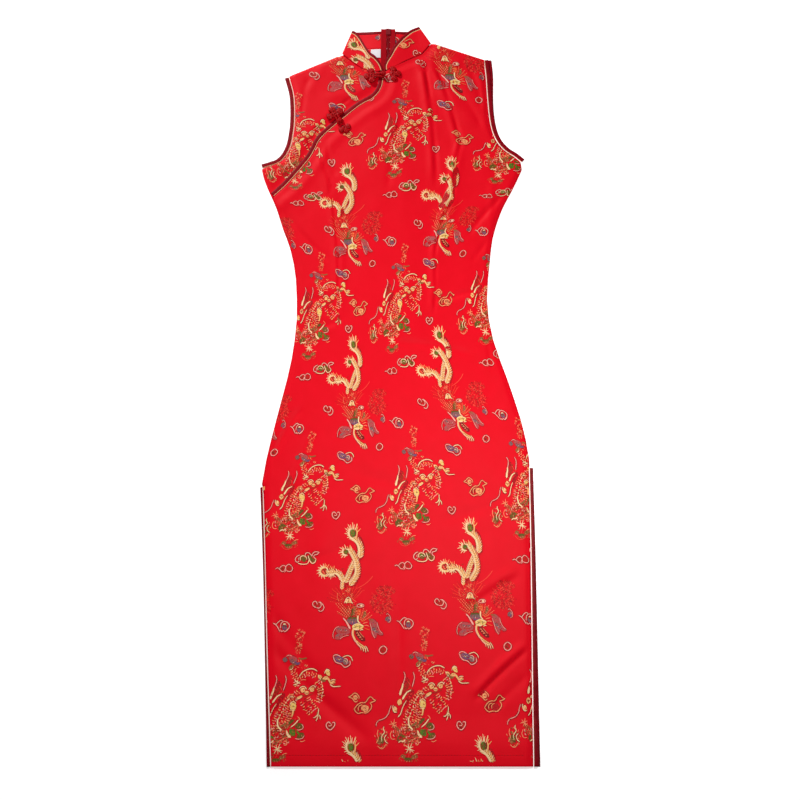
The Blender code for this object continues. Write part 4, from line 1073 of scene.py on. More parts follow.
DRAGON = (
    ("slate", 8.0, (81, -53), (82.4, -53.4), (84, -53.6)),
    ("olive", 3.0, (80, -54), (83, -55)),
    ("mauve", 6.8, (89, -50), (94, -52), (99, -54)),
    ("slate", 5.8, (91, -54), (95, -56), (99, -59)),
    ("violet", 3.4, (97, -57), (101, -59), (104, -58)),
    ("moss", 5.0, (90, -65), (93, -63), (96, -60)),
    ("moss", 2.0, (102, -51), (107, -52.4), (114, -51)),
    ("cream", 1.2, (90.5, -67), (93.6, -66.4), (95.4, -63.4)),
    ("pink", 1.0, (84, -49), (88, -47), (92, -48.6)),
    ("cream", 1.7, (106, -76), (109, -71), (114, -67.6), (120, -65.8), (126, -66.2), (131, -69)),
    ("peach", 1.2, (108, -81), (113, -80.4), (116, -81)),
    ("moss", 3.4, (135, -78), (139, -81), (144, -82)),
    ("gold", 5.4, (134, -75.6), (137.6, -78)),
    ("gold", 4.6, (141, -79), (144.6, -78), (148, -79)),
    ("yellow", 5.0, (144.6, -68), (146.4, -71), (149, -74)),
    ("cream", 1.4, (142, -72), (143.4, -68), (146, -66.4), (149.4, -69)),
    ("brown", 1.0, (135, -76), (138, -78.6), (141.6, -77)),
    ("gold", (2.6, 2.0), (147.6, -78), (150, -82), (153, -86)),
    ("gold", 5.0, (154, -84.4), (157.6, -84)),
    ("cream", 1.4, (152, -82), (155, -80.4), (159, -81)),
    ("cream", (1.9, 1.2), (152, -87), (156, -89.6), (161, -89.8), (167, -89.4)),
    ("brown", 1.2, (155, -85), (158, -85.6)),
    ("gold", 8.4, (111.6, -94), (114, -95)),
    ("gold", 5.6, (117, -98), (120.6, -98.4)),
    ("gold", 8.0, (125, -94.6), (127, -93)),
    ("cream", 1.4, (107.6, -93), (110.4, -90), (114.6, -89.8), (118, -93.4)),
    ("cream", 1.4, (121, -94), (124, -90), (128.4, -88.6), (130.6, -91.6)),
    ("moss", 1.2, (113, -93.6), (114.2, -95)),
    ("moss", 1.2, (124.6, -93.6), (126.6, -95)),
    ("brown", 0.9, (115.6, -97), (118, -99), (122, -99)),
    ("rust", 1.6, (109, -100), (118, -103), (128, -99)),
    ("cream", 1.4, (99, -80), (103, -84), (108, -85.6)),
    ("cream", 1.4, (107, -83), (103, -86.4), (98.4, -87.6)),
    ("cream", 1.3, (103.4, -81), (104.4, -86)),
    ("gold", 3.4, (106, -105.4), (109.4, -104.6), (112, -102.6)),
    ("cream", 1.1, (104, -107), (108, -107), (113, -103.6)),
    ("yellow", 8.8, (100, -114.6), (101, -117), (103, -120)),
    ("cream", 1.3, (96.4, -116), (97.6, -112.4), (101.6, -110.6), (105, -114)),
    ("cream", 1.1, (97, -119), (99.6, -122.8), (104.6, -123)),
    ("moss", 2.0, (100.6, -116.6), (101.6, -117.8)),
    ("gold", (3.0, 1.6), (101.6, -122), (101.8, -126), (101, -132)),
    ("cream", 2.0, (81, -136), (81.4, -141), (83, -146.6), (88, -150.6)),
    ("cream", 1.2, (95, -105), (98, -103), (101, -105.6)),
    ("moss", 4.4, (92, -148), (95, -146), (98, -143.6)),
    ("olive", 3.6, (98, -142), (101, -139), (104, -137)),
    ("moss", 3.0, (86, -146), (90, -144), (94, -141)),
    ("olive", 8.4, (109.4, -145.6), (113, -145), (116, -147)),
    ("olive", 7.0, (112, -160), (115.6, -158.6), (118.6, -156.6)),
    ("green", 8.6, (101.4, -151.6), (103, -154), (105.6, -157)),
    ("olive", 3.0, (106.6, -150), (105, -154), (104.4, -158)),
    ("green", 2.6, (110, -152), (112, -155), (114, -158)),
    ("cream", (2.0, 4.0), (95.4, -152), (96.4, -156), (99, -159.4), (101, -160.6)),
    ("cream", 1.9, (111, -136.6), (108.4, -140), (105.4, -143.4), (101, -147)),
    ("peach", 1.2, (109, -132), (111.6, -134), (113, -137)),
    ("pink", 1.1, (110, -150.6), (114, -150.8), (118.4, -149), (118.6, -145.6), (116, -142.6)),
    ("pink", 1.1, (108, -162.6), (113, -163.4), (118.6, -162), (121, -158)),
    ("peach", 1.2, (115, -166), (118, -167), (122, -165)),
    ("olive", 7.0, (66.4, -166), (69, -163.4), (73, -160.4)),
    ("green", 2.6, (71, -160.4), (74, -160.2), (76, -162)),
    ("cream", 1.9, (67, -169.6), (70, -167.4), (74, -167.8), (77, -165.4)),
    ("olive", 6.4, (40, -164), (41.6, -167), (43, -171)),
    ("moss", 4.4, (36, -167), (37, -170), (40, -174)),
    ("moss", 2.6, (38, -158), (40, -161)),
    ("cream", 1.4, (45, -149), (44.4, -153), (46.4, -156), (43.6, -160), (41.6, -164), (42.6, -169)),
    ("cream", 1.3, (49, -160), (46, -164), (47.4, -169), (51, -171.4)),
    ("peach", 1.3, (36.4, -154), (35.4, -160), (37, -166), (34, -172)),
    ("peach", 1.3, (36, -176), (41, -179.4), (45, -178), (48, -173)),
    ("peach", 1.2, (57, -154), (54.6, -160), (57, -165.4), (62, -165)),
    ("pink", (1.1, 1.5), (71.6, -75), (73.6, -80), (72.8, -86), (70.8, -92)),
    ("cream", (1.8, 3.6), (70.8, -91), (69.8, -97), (68.2, -101), (67, -106.4)),
    ("pink", (1.1, 1.5), (85.6, -75), (87.4, -81), (86.4, -88), (84.6, -95)),
    # The two wide dark red strokes among the fins are painted shade between them.
    ("dusk", 6.0, (77, -84), (75.6, -94), (72, -106)),
    ("rust", 3.0, (80, -86), (79, -92), (77, -98)),
    ("blush", 1.2, (82, -95), (80.4, -91), (78, -89)),
    ("cream", (1.2, 2.8), (82.6, -100), (77.6, -102.6), (74, -107), (71, -112)),
    ("rust", 2.4, (76, -91), (76.4, -96), (73.6, -101)),
    ("dusk", 6.0, (86, -100), (81, -109), (75, -119)),
    ("gold", 7.4, (67, -114), (66.8, -116.4), (66.4, -118.4)),
    ("brown", 0.9, (64, -115), (67, -116.4), (69.6, -115)),
    ("gold", 6.6, (60.8, -124), (60.6, -126), (61, -127.4)),
    ("cream", 1.4, (57.4, -121), (57.2, -125), (60, -129.6), (63.6, -129)),
    ("cream", 1.1, (59, -122), (61, -124), (60, -127)),
    ("cream", (1.2, 1.8), (76.6, -114), (73, -120), (70.4, -127), (68.6, -132), (65.4, -135.4)),
    ("pink", 1.1, (54.6, -121), (52.4, -127), (51, -132), (47, -137), (42, -139.6), (37, -141.2)),
    ("pink", 1.1, (37, -141.2), (34, -145), (33.6, -149)),
    ("moss", 4.0, (137, -127), (138.6, -130), (140, -132)),
    ("cream", 1.4, (138.4, -120.6), (138.4, -126), (138, -131)),
    ("cream", 1.5, (138, -129), (134.6, -133), (132, -133.4)),
    ("cream", 1.4, (138, -130), (138, -134), (136.4, -138)),
    ("cream", 1.4, (138.4, -129), (141.6, -132), (142, -136)),
    ("moss", 6.0, (72, -187.6), (74.6, -188.6), (75, -190)),
    ("moss", 5.0, (86.6, -190), (90, -188), (94, -186.4)),
    ("moss", 5.0, (77.6, -194), (81, -194), (85, -193)),
    ("olive", 3.4, (76, -192), (80, -191.6), (85, -191.4)),
    ("blush", 1.2, (70, -192), (74, -197), (81, -198), (87, -195)),
    ("peach", 1.2, (90, -185), (94, -183), (97, -183)),
    ("peach", 1.6, (92, -171), (95, -171.6), (96.6, -168), (94, -166)),
)
# Scaly places of the dragon: width, points.
SCALY = (
    (14.0, (101, -104), (93, -111), (88, -120), (84, -130), (80, -141), (79, -151)),
    (9.0, (95, -124), (97, -134), (93, -143)),
    (10.0, (131, -84), (137, -91), (139.6, -101), (136, -110)),
    (17.0, (117, -108), (123, -116), (130, -124)),
    (7.0, (103, -77), (110, -75.6), (119, -73), (129, -75)),
    (8.0, (95, -68), (100, -77), (104, -88)),
    (8.0, (106, -96), (101, -101), (94, -104)),
)
SCALY_DARK = (
    (14.0, (80, -150), (84, -158), (88, -168)),
    (9.0, (88, -150), (93, -158), (95, -168)),
    (9.0, (78, -150), (70, -155), (60, -157)),
    (7.0, (60, -148), (66, -152), (73, -148)),
    (8.0, (80, -166), (78, -171), (74, -168)),
)


def spaced(points, count):
    """Count points evenly spaced through the given ones, and the unit direction of the line at each."""
    path = through(points, count)
    along = np.gradient(path, axis=0)
    return path, along / np.linalg.norm(along, axis=1)[:, None]


def rays(silk, width, u, v, inner, outer, start, end, count, lean=(0.0, 0.0)):
    """Strokes round a place, between two directions in degrees; lean moves their tips."""
    made = []
    for index, turn in enumerate(np.linspace(start, end, count)):
        way = direction(turn)
        bent = np.array([-way[1], way[0]]) * (0.5 if index % 2 else -0.4)
        tip = (u, v) + way * outer * (1.0 - 0.2 * (index % 2)) + lean
        root = (u, v) + way * inner
        made.append((silk, (width, width * 0.5), root, (root + tip) / 2 + bent, tip))
    return made


def fan(silks, u, v, inner, outer, start, end, count):
    """Broken lines that spread from a place, between two directions in degrees."""
    made = []
    for index, turn in enumerate(np.linspace(start, end, count)):
        way = direction(turn)
        reach = outer * (0.84, 1.0, 0.92)[index % 3]
        run = [(u, v) + way * inner, (u, v) + way * (inner + reach) / 2, (u, v) + way * reach]
        made += dashes(silks[index % len(silks)], 0.95, int((reach - inner) / 3.0) + 1, *run)
    return made


def feather(wide, *points):
    """A pale plume: barbs on both sides that slant towards its eye, with gaps between, and a dark shaft."""
    count = int(length_of(np.array(points, float)) / 3.0) + 1
    path, along = spaced(points, count)
    made = [("gold", wide * 0.34, *points)]
    for index in range(count):
        for side, reach, silk in ((-1.0, 0.56, "cream"), (1.0, 0.5, ("gold", "cream")[index % 2])):
            out = side * np.array([-along[index, 1], along[index, 0]]) - 0.95 * along[index]
            root = path[index] + 0.2 * out
            tip = path[index] + out * wide * reach - along[index] * 0.9
            made.append((silk, (2.1, 0.9), root, (root + tip) / 2 + along[index] * 0.5, tip))
    return made + dashes("brown", 1.1, count, *points)


def scaly(bright, dark, pitch, width, *points):
    """A scaly body: rows across it of short arcs and dark stitches, closest at its two sides."""
    chance = np.random.default_rng(int(width * 10) + len(points))
    count = int(length_of(np.array(points, float)) / pitch) + 1
    path, along = spaced(points, count)
    lanes = max(2, int(width / pitch))
    made = []
    for index in range(count):
        side = np.array([-along[index, 1], along[index, 0]])
        for lane in range(lanes):
            shift = (lane + (0.3 if index % 2 else 0.7)) / lanes - 0.5
            middle = path[index] + side * shift * width + chance.uniform(-0.5, 0.5, 2)
            wide = side * pitch * chance.uniform(0.32, 0.55) + along[index] * chance.uniform(-0.6, 0.6)
            edge = lane in (0, lanes - 1)
            if edge or chance.uniform() < 0.5:
                silk = bright[int(chance.integers(len(bright)))]
                made.append((silk, 1.4, middle - wide, middle + along[index] * 1.0, middle + wide))
            if chance.uniform() < 0.7:
                under = middle - along[index] * pitch * 0.5
                made.append((dark[int(chance.integers(len(dark)))], 1.3, under - wide, under + wide))
    return made


def crackle(silks, u, v, wide, high, count, seed):
    """Short curled strokes scattered in an oval, as the outlines of a many-petalled flower."""
    chance = np.random.default_rng(seed)
    made = []
    for index in range(count):
        turn = chance.uniform(0.0, 2 * np.pi)
        reach = math.sqrt(chance.uniform(0.02, 1.0))
        middle = np.array([u + wide * reach * math.cos(turn), v + high * reach * math.sin(turn)])
        way = direction(math.degrees(turn) + chance.uniform(-70, 70)) * chance.uniform(0.9, 2.0)
        bend = np.array([-way[1], way[0]]) * chance.uniform(-0.6, 0.6)
        width = chance.uniform(0.8, 1.2)
        made.append((silks[index % len(silks)], width, middle - way, middle + bend, middle + way))
    return made


def dashes(silk, width, count, *points):
    """A broken line of short strokes."""
    path = through(points, count * 4)
    return [(silk, width, *path[4 * index:4 * index + 3]) for index in range(count)]


# The threads that cross each broad silk, in turn.
HATCHES = {
    "gold": ("cream", "peach", "moss"), "amber": ("gold", "peach", "moss"),
    "yellow": ("cream", "gold", "moss"), "cream": ("gold", "cream"),
    "green": ("olive", "green", "moss"), "olive": ("maroon", "moss", "olive", "peach"),
    "slate": ("maroon", "mauve", "brown", "pink"), "violet": ("mauve", "slate"),
    "mauve": ("rust", "moss", "slate", "brown"),
}


def hatched(strokes):
    """The strokes, with a slanting darker or paler thread every few millimetres across the broad ones."""
    made = []
    for silk, width, *line in strokes:
        made.append((silk, width, *line))
        broad = float(np.max(width))
        if broad < 4.0 or silk in ("dusk", "rust"):
            continue
        line = np.array(line, float)
        count = max(2, int(length_of(line) / 2.1) + 1)
        path, along = spaced(line, count + 1)
        overs = HATCHES.get(silk, ("brown", "peach"))
        for index in range(count + 1):
            side = np.array([-along[index, 1], along[index, 0]]) * broad * 0.34 + along[index] * 0.9
            start = path[index] - side * (0.9 if index % 2 else 0.2)
            made.append((overs[index % len(overs)], 0.85, start, start + side * 0.9))
    return made


def edged(strokes):
    """The strokes, with a wider one in shade under each whose silk is among the pale and broad ones."""
    edges = []
    for silk, width, *line in strokes:
        if silk in ("cream", "gold", "yellow", "pink", "amber", "slate", "violet", "mauve", "olive", "green"):
            edges.append(("shade", tuple(np.atleast_1d(width) + 2.2), *line))
    return edges + list(strokes)


def repeat_strokes():
    """Every stroke of one repeat, from the undermost to the topmost."""
    strokes = []
    strokes += crackle(("blush", "peach", "dusk", "rust"), -14, 36, 12, 12, 60, 1)
    strokes += fan(("blush", "rust", "orange", "dusk", "rust"), -11, 20, 10.0, 34.0, 42, 172, 31)
    strokes += fan(("orange", "brown", "peach", "moss", "rust"), -3, -6, 7.0, 30.0, 62, 152, 24)
    strokes += crackle(("orange", "brown", "moss", "peach"), -5, 11, 10, 8, 36, 2)
    strokes += fan(("orange", "peach", "rust"), 4, -8, 6.0, 24.0, 28, 80, 13)
    strokes += crackle(("blush", "dusk", "blush", "rust", "dusk"), 38, 22, 17, 15, 240, 4)
    strokes += crackle(("blush", "dusk", "blush", "rust", "dusk"), 46, 40, 14, 9, 130, 5)
    strokes += fan(("blush", "dusk"), 40, 24, 12.0, 21.0, 100, 350, 26)
    strokes += crackle(("blush", "peach", "dusk"), 101, -20, 7, 9, 56, 6)
    strokes += crackle(("blush", "peach", "rust"), 100, -37, 5, 10, 50, 16)
    strokes += crackle(("blush", "peach", "rust"), 106, -62, 10, 8, 30, 7)
    strokes += crackle(("peach", "rust", "blush", "rust"), 90, -134, 17, 22, 90, 8)
    strokes += crackle(("blush", "rust", "moss", "peach"), 78, -160, 20, 12, 110, 9)
    strokes += crackle(("blush", "rust", "dusk"), 78, -108, 9, 20, 50, 11)
    strokes += crackle(("peach", "rust", "moss"), 42, -165, 10, 13, 40, 12)
    strokes += crackle(("blush", "rust", "moss"), 82, -189, 15, 8, 50, 13)
    strokes += crackle(("rust", "dusk"), -8, -242, 16, 18, 40, 14)
    for shift in (-30.0, -26.0, -22.0):
        for silk, aside in (("peach", shift), ("rust", shift + 2.0)):
            strokes += dashes(silk, 1.0, 9, (aside, 21), (aside + 6, 14), (aside + 13, 6), (aside + 17, 1))
    strokes += dashes("peach", 1.0, 6, (-27, 36), (-27.6, 30), (-25, 24))
    strokes += dashes("peach", 1.0, 7, (-5, 36), (-6, 31), (-3, 26), (1, 24))
    strokes += dashes("blush", 0.9, 8, (2, 30), (6, 35), (9, 39), (14, 41))
    for width, *points in SCALY:
        strokes += scaly(("peach", "gold", "peach", "pink"), ("brown", "rust", "dusk"), 3.0, width, *points)
    for width, *points in SCALY_DARK:
        strokes += scaly(("peach", "blush", "moss", "pink"), ("brown", "moss", "rust"), 3.0, width, *points)
    strokes += edged(hatched(DRAGON)) + edged(hatched(CLOUDS))
    strokes += dashes("cream", 1.6, 7, (94, -107), (89, -114), (87, -122), (84, -130), (81, -137))
    strokes += dashes("cream", 1.4, 7, (133, -74), (139, -84), (141.6, -95), (141, -106))
    strokes += rays("peach", 1.6, 59, -145, 0.6, 6.4, -30, 300, 7)
    strokes += rays("cream", 1.6, 83, -177, 0.6, 8.0, -20, 320, 9)
    strokes += edged(hatched(PHOENIX))
    strokes += TAIL_SHADE
    strokes += feather(9.0, (-2, -187), (3.4, -191), (7.4, -197), (9, -203), (9, -209), (7.6, -216))
    strokes += feather(7.0, (-3, -226), (-6.6, -233), (-9.6, -240), (-12.4, -247), (-15, -253))
    strokes += feather(
        8.4, (-8, -204), (-3.4, -210), (1, -218.6), (3, -227), (3.4, -236), (1, -244), (-8.4, -257)
    )
    strokes += feather(
        8.6, (-42, -239.4), (-36, -239), (-29, -238), (-24, -241), (-20.6, -246), (-18.8, -251)
    )
    strokes += feather(5.0, (-19, -250), (-20, -256), (-20.6, -263))
    strokes += rays("cream", 1.9, -3.4, -180.4, 6.2, 13.4, 60, 244, 12, (-0.4, 3.6))
    strokes += rays("gold", 1.6, -3.0, -179.4, 6.0, 11.4, 12, 56, 3, (0.4, 4.4))
    strokes += rays("cream", 1.9, -14, -207.4, 4.6, 10.6, 96, 262, 8, (-1.6, 0.0))
    strokes += rays("gold", 1.4, -12, -207.4, 4.6, 8.4, 40, 90, 3)
    strokes += rays("cream", 1.8, -48, -236.6, 5.4, 11.2, 96, 276, 15)
    strokes += rays("gold", 1.5, -47, -236.6, 5.4, 11.2, 60, 92, 3, (1.2, 1.0))
    strokes += rays("cream", 1.6, -36, -239, 2.0, 9.4, 216, 318, 5, (-1.0, 0.0))
    strokes += rays("gold", 1.5, -35, -238, 2.0, 9.4, 66, 128, 4, (-1.0, 1.0))
    strokes += hatched(EYES)
    return strokes


def repeat_ribbons(plain=False):
    """One repeat's strokes as ribbons: points (u, v, lift), colours and faces.

    A ribbon is a smooth line with round ends. Shades lie lowest, broad silks next and thin ones on top, each
    a little over the one before it. Long ones are domed across, except where the repeat is to be plain."""
    points, colours, faces, start = [], [], [], 0
    for index, (silk, width, *line) in enumerate(repeat_strokes()):
        line = np.array(line, float)
        length = length_of(line)
        broad = float(np.max(width))
        width = np.array(width) * (0.78 if broad < 2.0 else 1.0)
        step = (1.9 if broad < 4 else 2.6) * (1.5 if plain else 1.0)
        count = max(4, int(length / step) + 2)
        run = np.gradient(line, axis=0)
        line[0] -= run[0] / np.linalg.norm(run[0]) * broad * 0.25
        line[-1] += run[-1] / np.linalg.norm(run[-1]) * broad * 0.25
        path = through(line, count)
        t = np.linspace(0.0, 1.0, count)
        ends = np.sqrt(np.clip(np.minimum(t, 1 - t) * (length + broad / 2) / (broad / 2) + 0.06, 0.0, 1.0))
        half = np.interp(t, (0.0, 1.0), np.broadcast_to(width, (2,))) / 2 * ends
        under = silk == "shade" or (silk == "dusk" and broad >= 4.0)
        lift = (0.06 if under else 0.13 if broad >= 2.0 else 0.16) + 0.00012 * index
        columns = 2 if plain or silk in ("shade", "dusk") or length < 7.0 else 3
        across = np.linspace(1.0, -1.0, columns)
        grid = np.stack([to_left(path, half * part) for part in across], 1)
        rise = lift + (0.05 if broad < 2.0 else 0.015) * (1.0 - np.abs(across))
        grid = np.concatenate([grid, np.broadcast_to(rise[None, :, None], (count, columns, 1))], axis=2)
        density = {"shade": 0.72, "dusk": 0.72, "rust": 0.84}.get(silk, 0.9 if broad >= 4 else 1.0)
        points.append(grid.reshape(-1, 3))
        colours.append(np.tile([*SILKS[silk][:3], density], (count * columns, 1)))
        faces.append(grid_faces(count, columns) + start)
        start += count * columns
    return np.concatenate(points), np.concatenate(colours), np.concatenate(faces)


REPEAT = repeat_ribbons()
PLAIN_REPEAT = repeat_ribbons(plain=True)
# How the woven cloth's repeat lies on the dress: its middle at each height, and how far the darts draw it in.
LAY = table(
    "y centre stretch",
    (-610, 34.7, 1.0), (-405, 34.7, 1.0), (-96, 23.5, 0.865),
    (208, 5.3, 0.81), (507, 10.1, 1.0), (600, 10.1, 1.0),
)
FIRST_Y = -96.0
# How far each column of repeats lies from that, to the right and up: 0 is the column on the left, 1 and 2 the
# phoenix and the dragon of the middle one, and 3 and 4 those of the column on the right.
SHIFTS = table(
    "y x0 y0 x1 y1 x2 y2 x3 y3 x4 y4",
    (-550, -8, -8, 2, -2, -2, -8, 10, 0, 4, -6), (-500, -4, -9, 3, 0, 1, -4, 8, 3, 4, -2),
    (-410, 3, -5, 3.5, 0, 3.5, -1.5, 3, 6, 1, 6), (-310, -3, -5, 0, 0, 0, -1, 5, 7, 0, 9),
    (-250, -7, -7, 0, 1, -0.5, 1, 7, 10, 2, 12), (-200, -8, -7, 0, 1, 0, 1.4, 7, 13, 2.5, 14),
    (-110, 2, -9, 0, 0, -0.4, 0, 2, 12, 4, 14), (-60, 4, -8, 4, -1, -8, 4, -5, 10, -5, 15),
    (-10, 11, -10, 5, -5, -12, 1, -13, 9.5, -13, 16), (50, 12, -12, 3, -3, -12, 2, -16, 14, -15, 17),
    (110, 14, -9, 2, 0, -8, 5, -13, 19, -16, 18), (190, 18, -12, -1, -1, 5.5, 2, -2, 18, 8, 22),
    (240, 9, -6, -2, -2, 6.5, 5, 14, 11, 11, 20), (290, 5, -14, 0, -4, 3, 2.5, 11, 10.5, 2, -5),
    (345, -3, -24, 0, -4, 4, 5, 13, 15, 14, -18), (400, -8, -17, 1, -2, 2, 4, 14, 4, 12, -14),
    (460, -5, -18, 2, 0, 1, 2, 9, 5, 10, -8), (510, 1, -22, 3.5, 1, 1, 2, 1, 2, 5, -5),
    (550, 1, -22, 0, -4, 1, 2, -2, 10, 0, 0),
)


def on_front(u, v, across):
    """Where the place (u, v) of a column's repeat lies on the dress."""
    y = v + FIRST_Y
    x = np.interp(y, LAY["y"], LAY["centre"])
    x = x + np.interp(y, LAY["y"], LAY["stretch"]) * (u + across * REPEAT_WIDTH - 91.0)
    share = np.clip((u + 20.0) / 120.0, 0.0, 1.0)
    for place, part in zip(((0, 0), (1, 2), (3, 4))[min(max(across, -1), 1) + 1], (1.0 - share, share)):
        x = x + part * np.interp(y, SHIFTS["y"], SHIFTS[f"x{place}"])
        y = y + part * np.interp(v + FIRST_Y, SHIFTS["y"], SHIFTS[f"y{place}"])
    return x, y


def on_back(u, v, across):
    x, y = on_front(u, v, across)
    return -x, y


def turned_about(u0, v0, x0, y0, degrees):
    """A lay of the repeat that puts its place (u0, v0) on (x0, y0), turned by some degrees."""
    c, s = math.cos(math.radians(degrees)), math.sin(math.radians(degrees))

    def lay(u, v, across):
        right, up = u + across * REPEAT_WIDTH - u0, v - v0
        return x0 + c * right - s * up, y0 + s * right + c * up

    return lay


def inside_of(outline):
    """A test of whether places are inside a closed plan line."""
    outline = np.asarray(outline)
    following = np.roll(outline, -1, axis=0)

    def test(x, y):
        crossings = np.zeros(np.shape(x), int)
        for (x0, y0), (x1, y1) in zip(outline, following):
            if y0 != y1:
                spans = (y0 > y) != (y1 > y)
                crossings += spans & (x < x0 + (x1 - x0) * (y - y0) / (y1 - y0))
        return crossings % 2 == 1

    return test


def rim_of(grid, step=1):
    """Plan line round a grid's edge, through every point of it or every few."""
    sides = [grid[0, :-1:step], grid[:-1:step, -1], grid[-1, :0:-step], grid[:0:-step, 0]]
    return np.concatenate(sides)[:, :2]


def height_on(grid):
    """Height of a grid whose rows are straight and level, at any place on it."""
    rows = grid[:, 0, 1]

    def height(x, y):
        r = np.clip(np.interp(y, rows, np.arange(len(rows))), 0, len(rows) - 1.001)
        left = np.interp(y, rows, grid[:, 0, 0])
        right = np.interp(y, rows, grid[:, -1, 0])
        c = np.clip((x - left) / (right - left) * (grid.shape[1] - 1), 0, grid.shape[1] - 1.001)
        r0, c0 = r.astype(int), c.astype(int)
        fr, fc = r - r0, c - c0
        z = grid[:, :, 2]
        low = z[r0, c0] * (1 - fc) + z[r0, c0 + 1] * fc
        high = z[r0 + 1, c0] * (1 - fc) + z[r0 + 1, c0 + 1] * fc
        return low * (1 - fr) + high * fr

    return height


def make_pattern(name, lay, inside, height, below=False):
    """The woven pattern on one panel: every repeat that reaches it, cut at its edge."""
    points, colours, faces = PLAIN_REPEAT if below else REPEAT
    made_points, made_colours, made_faces, start = [], [], [], 0
    for across in range(-3, 4):
        for up in range(-3, 4):
            x, y = lay(points[:, 0], points[:, 1] + up * REPEAT_HEIGHT, across)
            kept = inside(x, y)
            some = faces[kept[faces].all(1)]
            if not len(some):
                continue
            used, some = np.unique(some, return_inverse=True)
            lift = points[used, 2] * (-0.4 if below else 1.0)
            made_points.append(np.column_stack([x[used], y[used], height(x[used], y[used]) + lift]))
            made_colours.append(colours[used])
            made_faces.append(some.reshape(-1, 4) + start)
            start += len(used)
    made_points, made_faces = np.concatenate(made_points), np.concatenate(made_faces)
    corner = made_points[made_faces]
    turn = np.cross(corner[:, 2] - corner[:, 0], corner[:, 3] - corner[:, 1])[:, 2]
    wrong = (turn < 0) != below
    made_faces[wrong] = made_faces[wrong][:, ::-1]
    return make_piece(name, made_points, made_faces, THREAD, colours=np.concatenate(made_colours))


# -------- the panels


FRONT_GRID = front_grid()
UPPER_GRID = upper_front_grid()
FRONT = make_cloth("front", with_hem(FRONT_GRID, -1), FRONT_WALL, SATIN)
UPPER_FRONT = make_cloth("upper_front", UPPER_GRID, FRONT_WALL, SATIN)
FRONT_PATTERN = make_pattern(
    "front_pattern", on_front, inside_of(rim_of(FRONT_GRID, 4)),
    lambda x, y: height_on(FRONT_GRID)(x, y) + FRONT_WALL / 2,
)
UPPER_PATTERN = make_pattern(
    "upper_front_pattern", on_front, inside_of(rim_of(UPPER_GRID, 4)),
    lambda x, y: height_on(UPPER_GRID)(x, y) + FRONT_WALL / 2,
)
BACKS = {}
for side in ("left", "right"):
    grid = back_grid(side)
    BACKS[side] = make_cloth("back_" + side, with_hem(grid, 1), BACK_WALL, SATIN)
    BACKS[side + "_grid"] = grid
    BACKS[side + "_pattern"] = make_pattern(
        "back_pattern_" + side, on_back, inside_of(rim_of(grid, 4)),
        lambda x, y: back_height(x, y) + BACK_RAISED - BACK_WALL / 2, below=True,
    )


# -------- the trims


def binding_parts(inner, outer, height, thick):
    """A folded strip between two plan lines, as a rounded section carried along them.

    Across it goes from inner to outer by (1 + c) / 2 and up by thick s / 2, where c and s are the cosine and
    sine of the way round, each raised to the power 0.55 to square the section's corners."""
    turn = np.linspace(0.0, 2 * np.pi, 14, endpoint=False) + 0.1
    c = np.sign(np.cos(turn)) * np.abs(np.cos(turn)) ** 0.55
    s = np.sign(np.sin(turn)) * np.abs(np.sin(turn)) ** 0.55
    place = inner[:, None, :] + (outer - inner)[:, None, :] * ((1 + c) / 2)[None, :, None]
    x, y = place[:, :, 0], place[:, :, 1]
    run = distances_along(inner)[:, None]
    pucker = 0.10 * np.sin(run / 2.7 + 1.3 * np.sin(run / 17.0)) * (s > 0)[None, :]
    z = height(x, y) + thick / 2 * s[None, :] + pucker
    return ring_parts(np.stack([x, y, z], axis=2))


def add_trim(name, parts, finish):
    """A trim that replaces the node of its name."""
    obj = make_piece(name + "_trim", parts[0], parts[1], finish, uv=parts[2])
    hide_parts(name)
    return obj


def add_edge_trim(name, seam, width, outward, height, flat=False, thin=THIN, satin=BIAS):
    """Piping along a seam line and the binding outside it."""
    pipe = FLAT_PIPING if flat else PIPING
    thick = CLOTH if flat else BINDING_THICK
    across = to_left(seam, outward) - seam
    inner = seam + across * (thin * pipe / 2 - 0.1)
    outer = seam + across * np.reshape(PIPING / 2 + GAP + width, (-1, 1))
    middle = (thick - CLOTH) / 2
    parts = binding_parts(inner, outer, lambda x, y: height(x, y) + middle, thick * 0.94)
    binding = add_trim("binding_" + name, parts, satin)
    seam_height = height(seam[:, 0], seam[:, 1]) + (pipe - CLOTH) / 2 + 0.3 * pipe / 2
    parts = tube_parts(np.column_stack([seam, seam_height]), thin * pipe / 2, 10)
    return binding, add_trim("piping_" + name, parts, GILT)


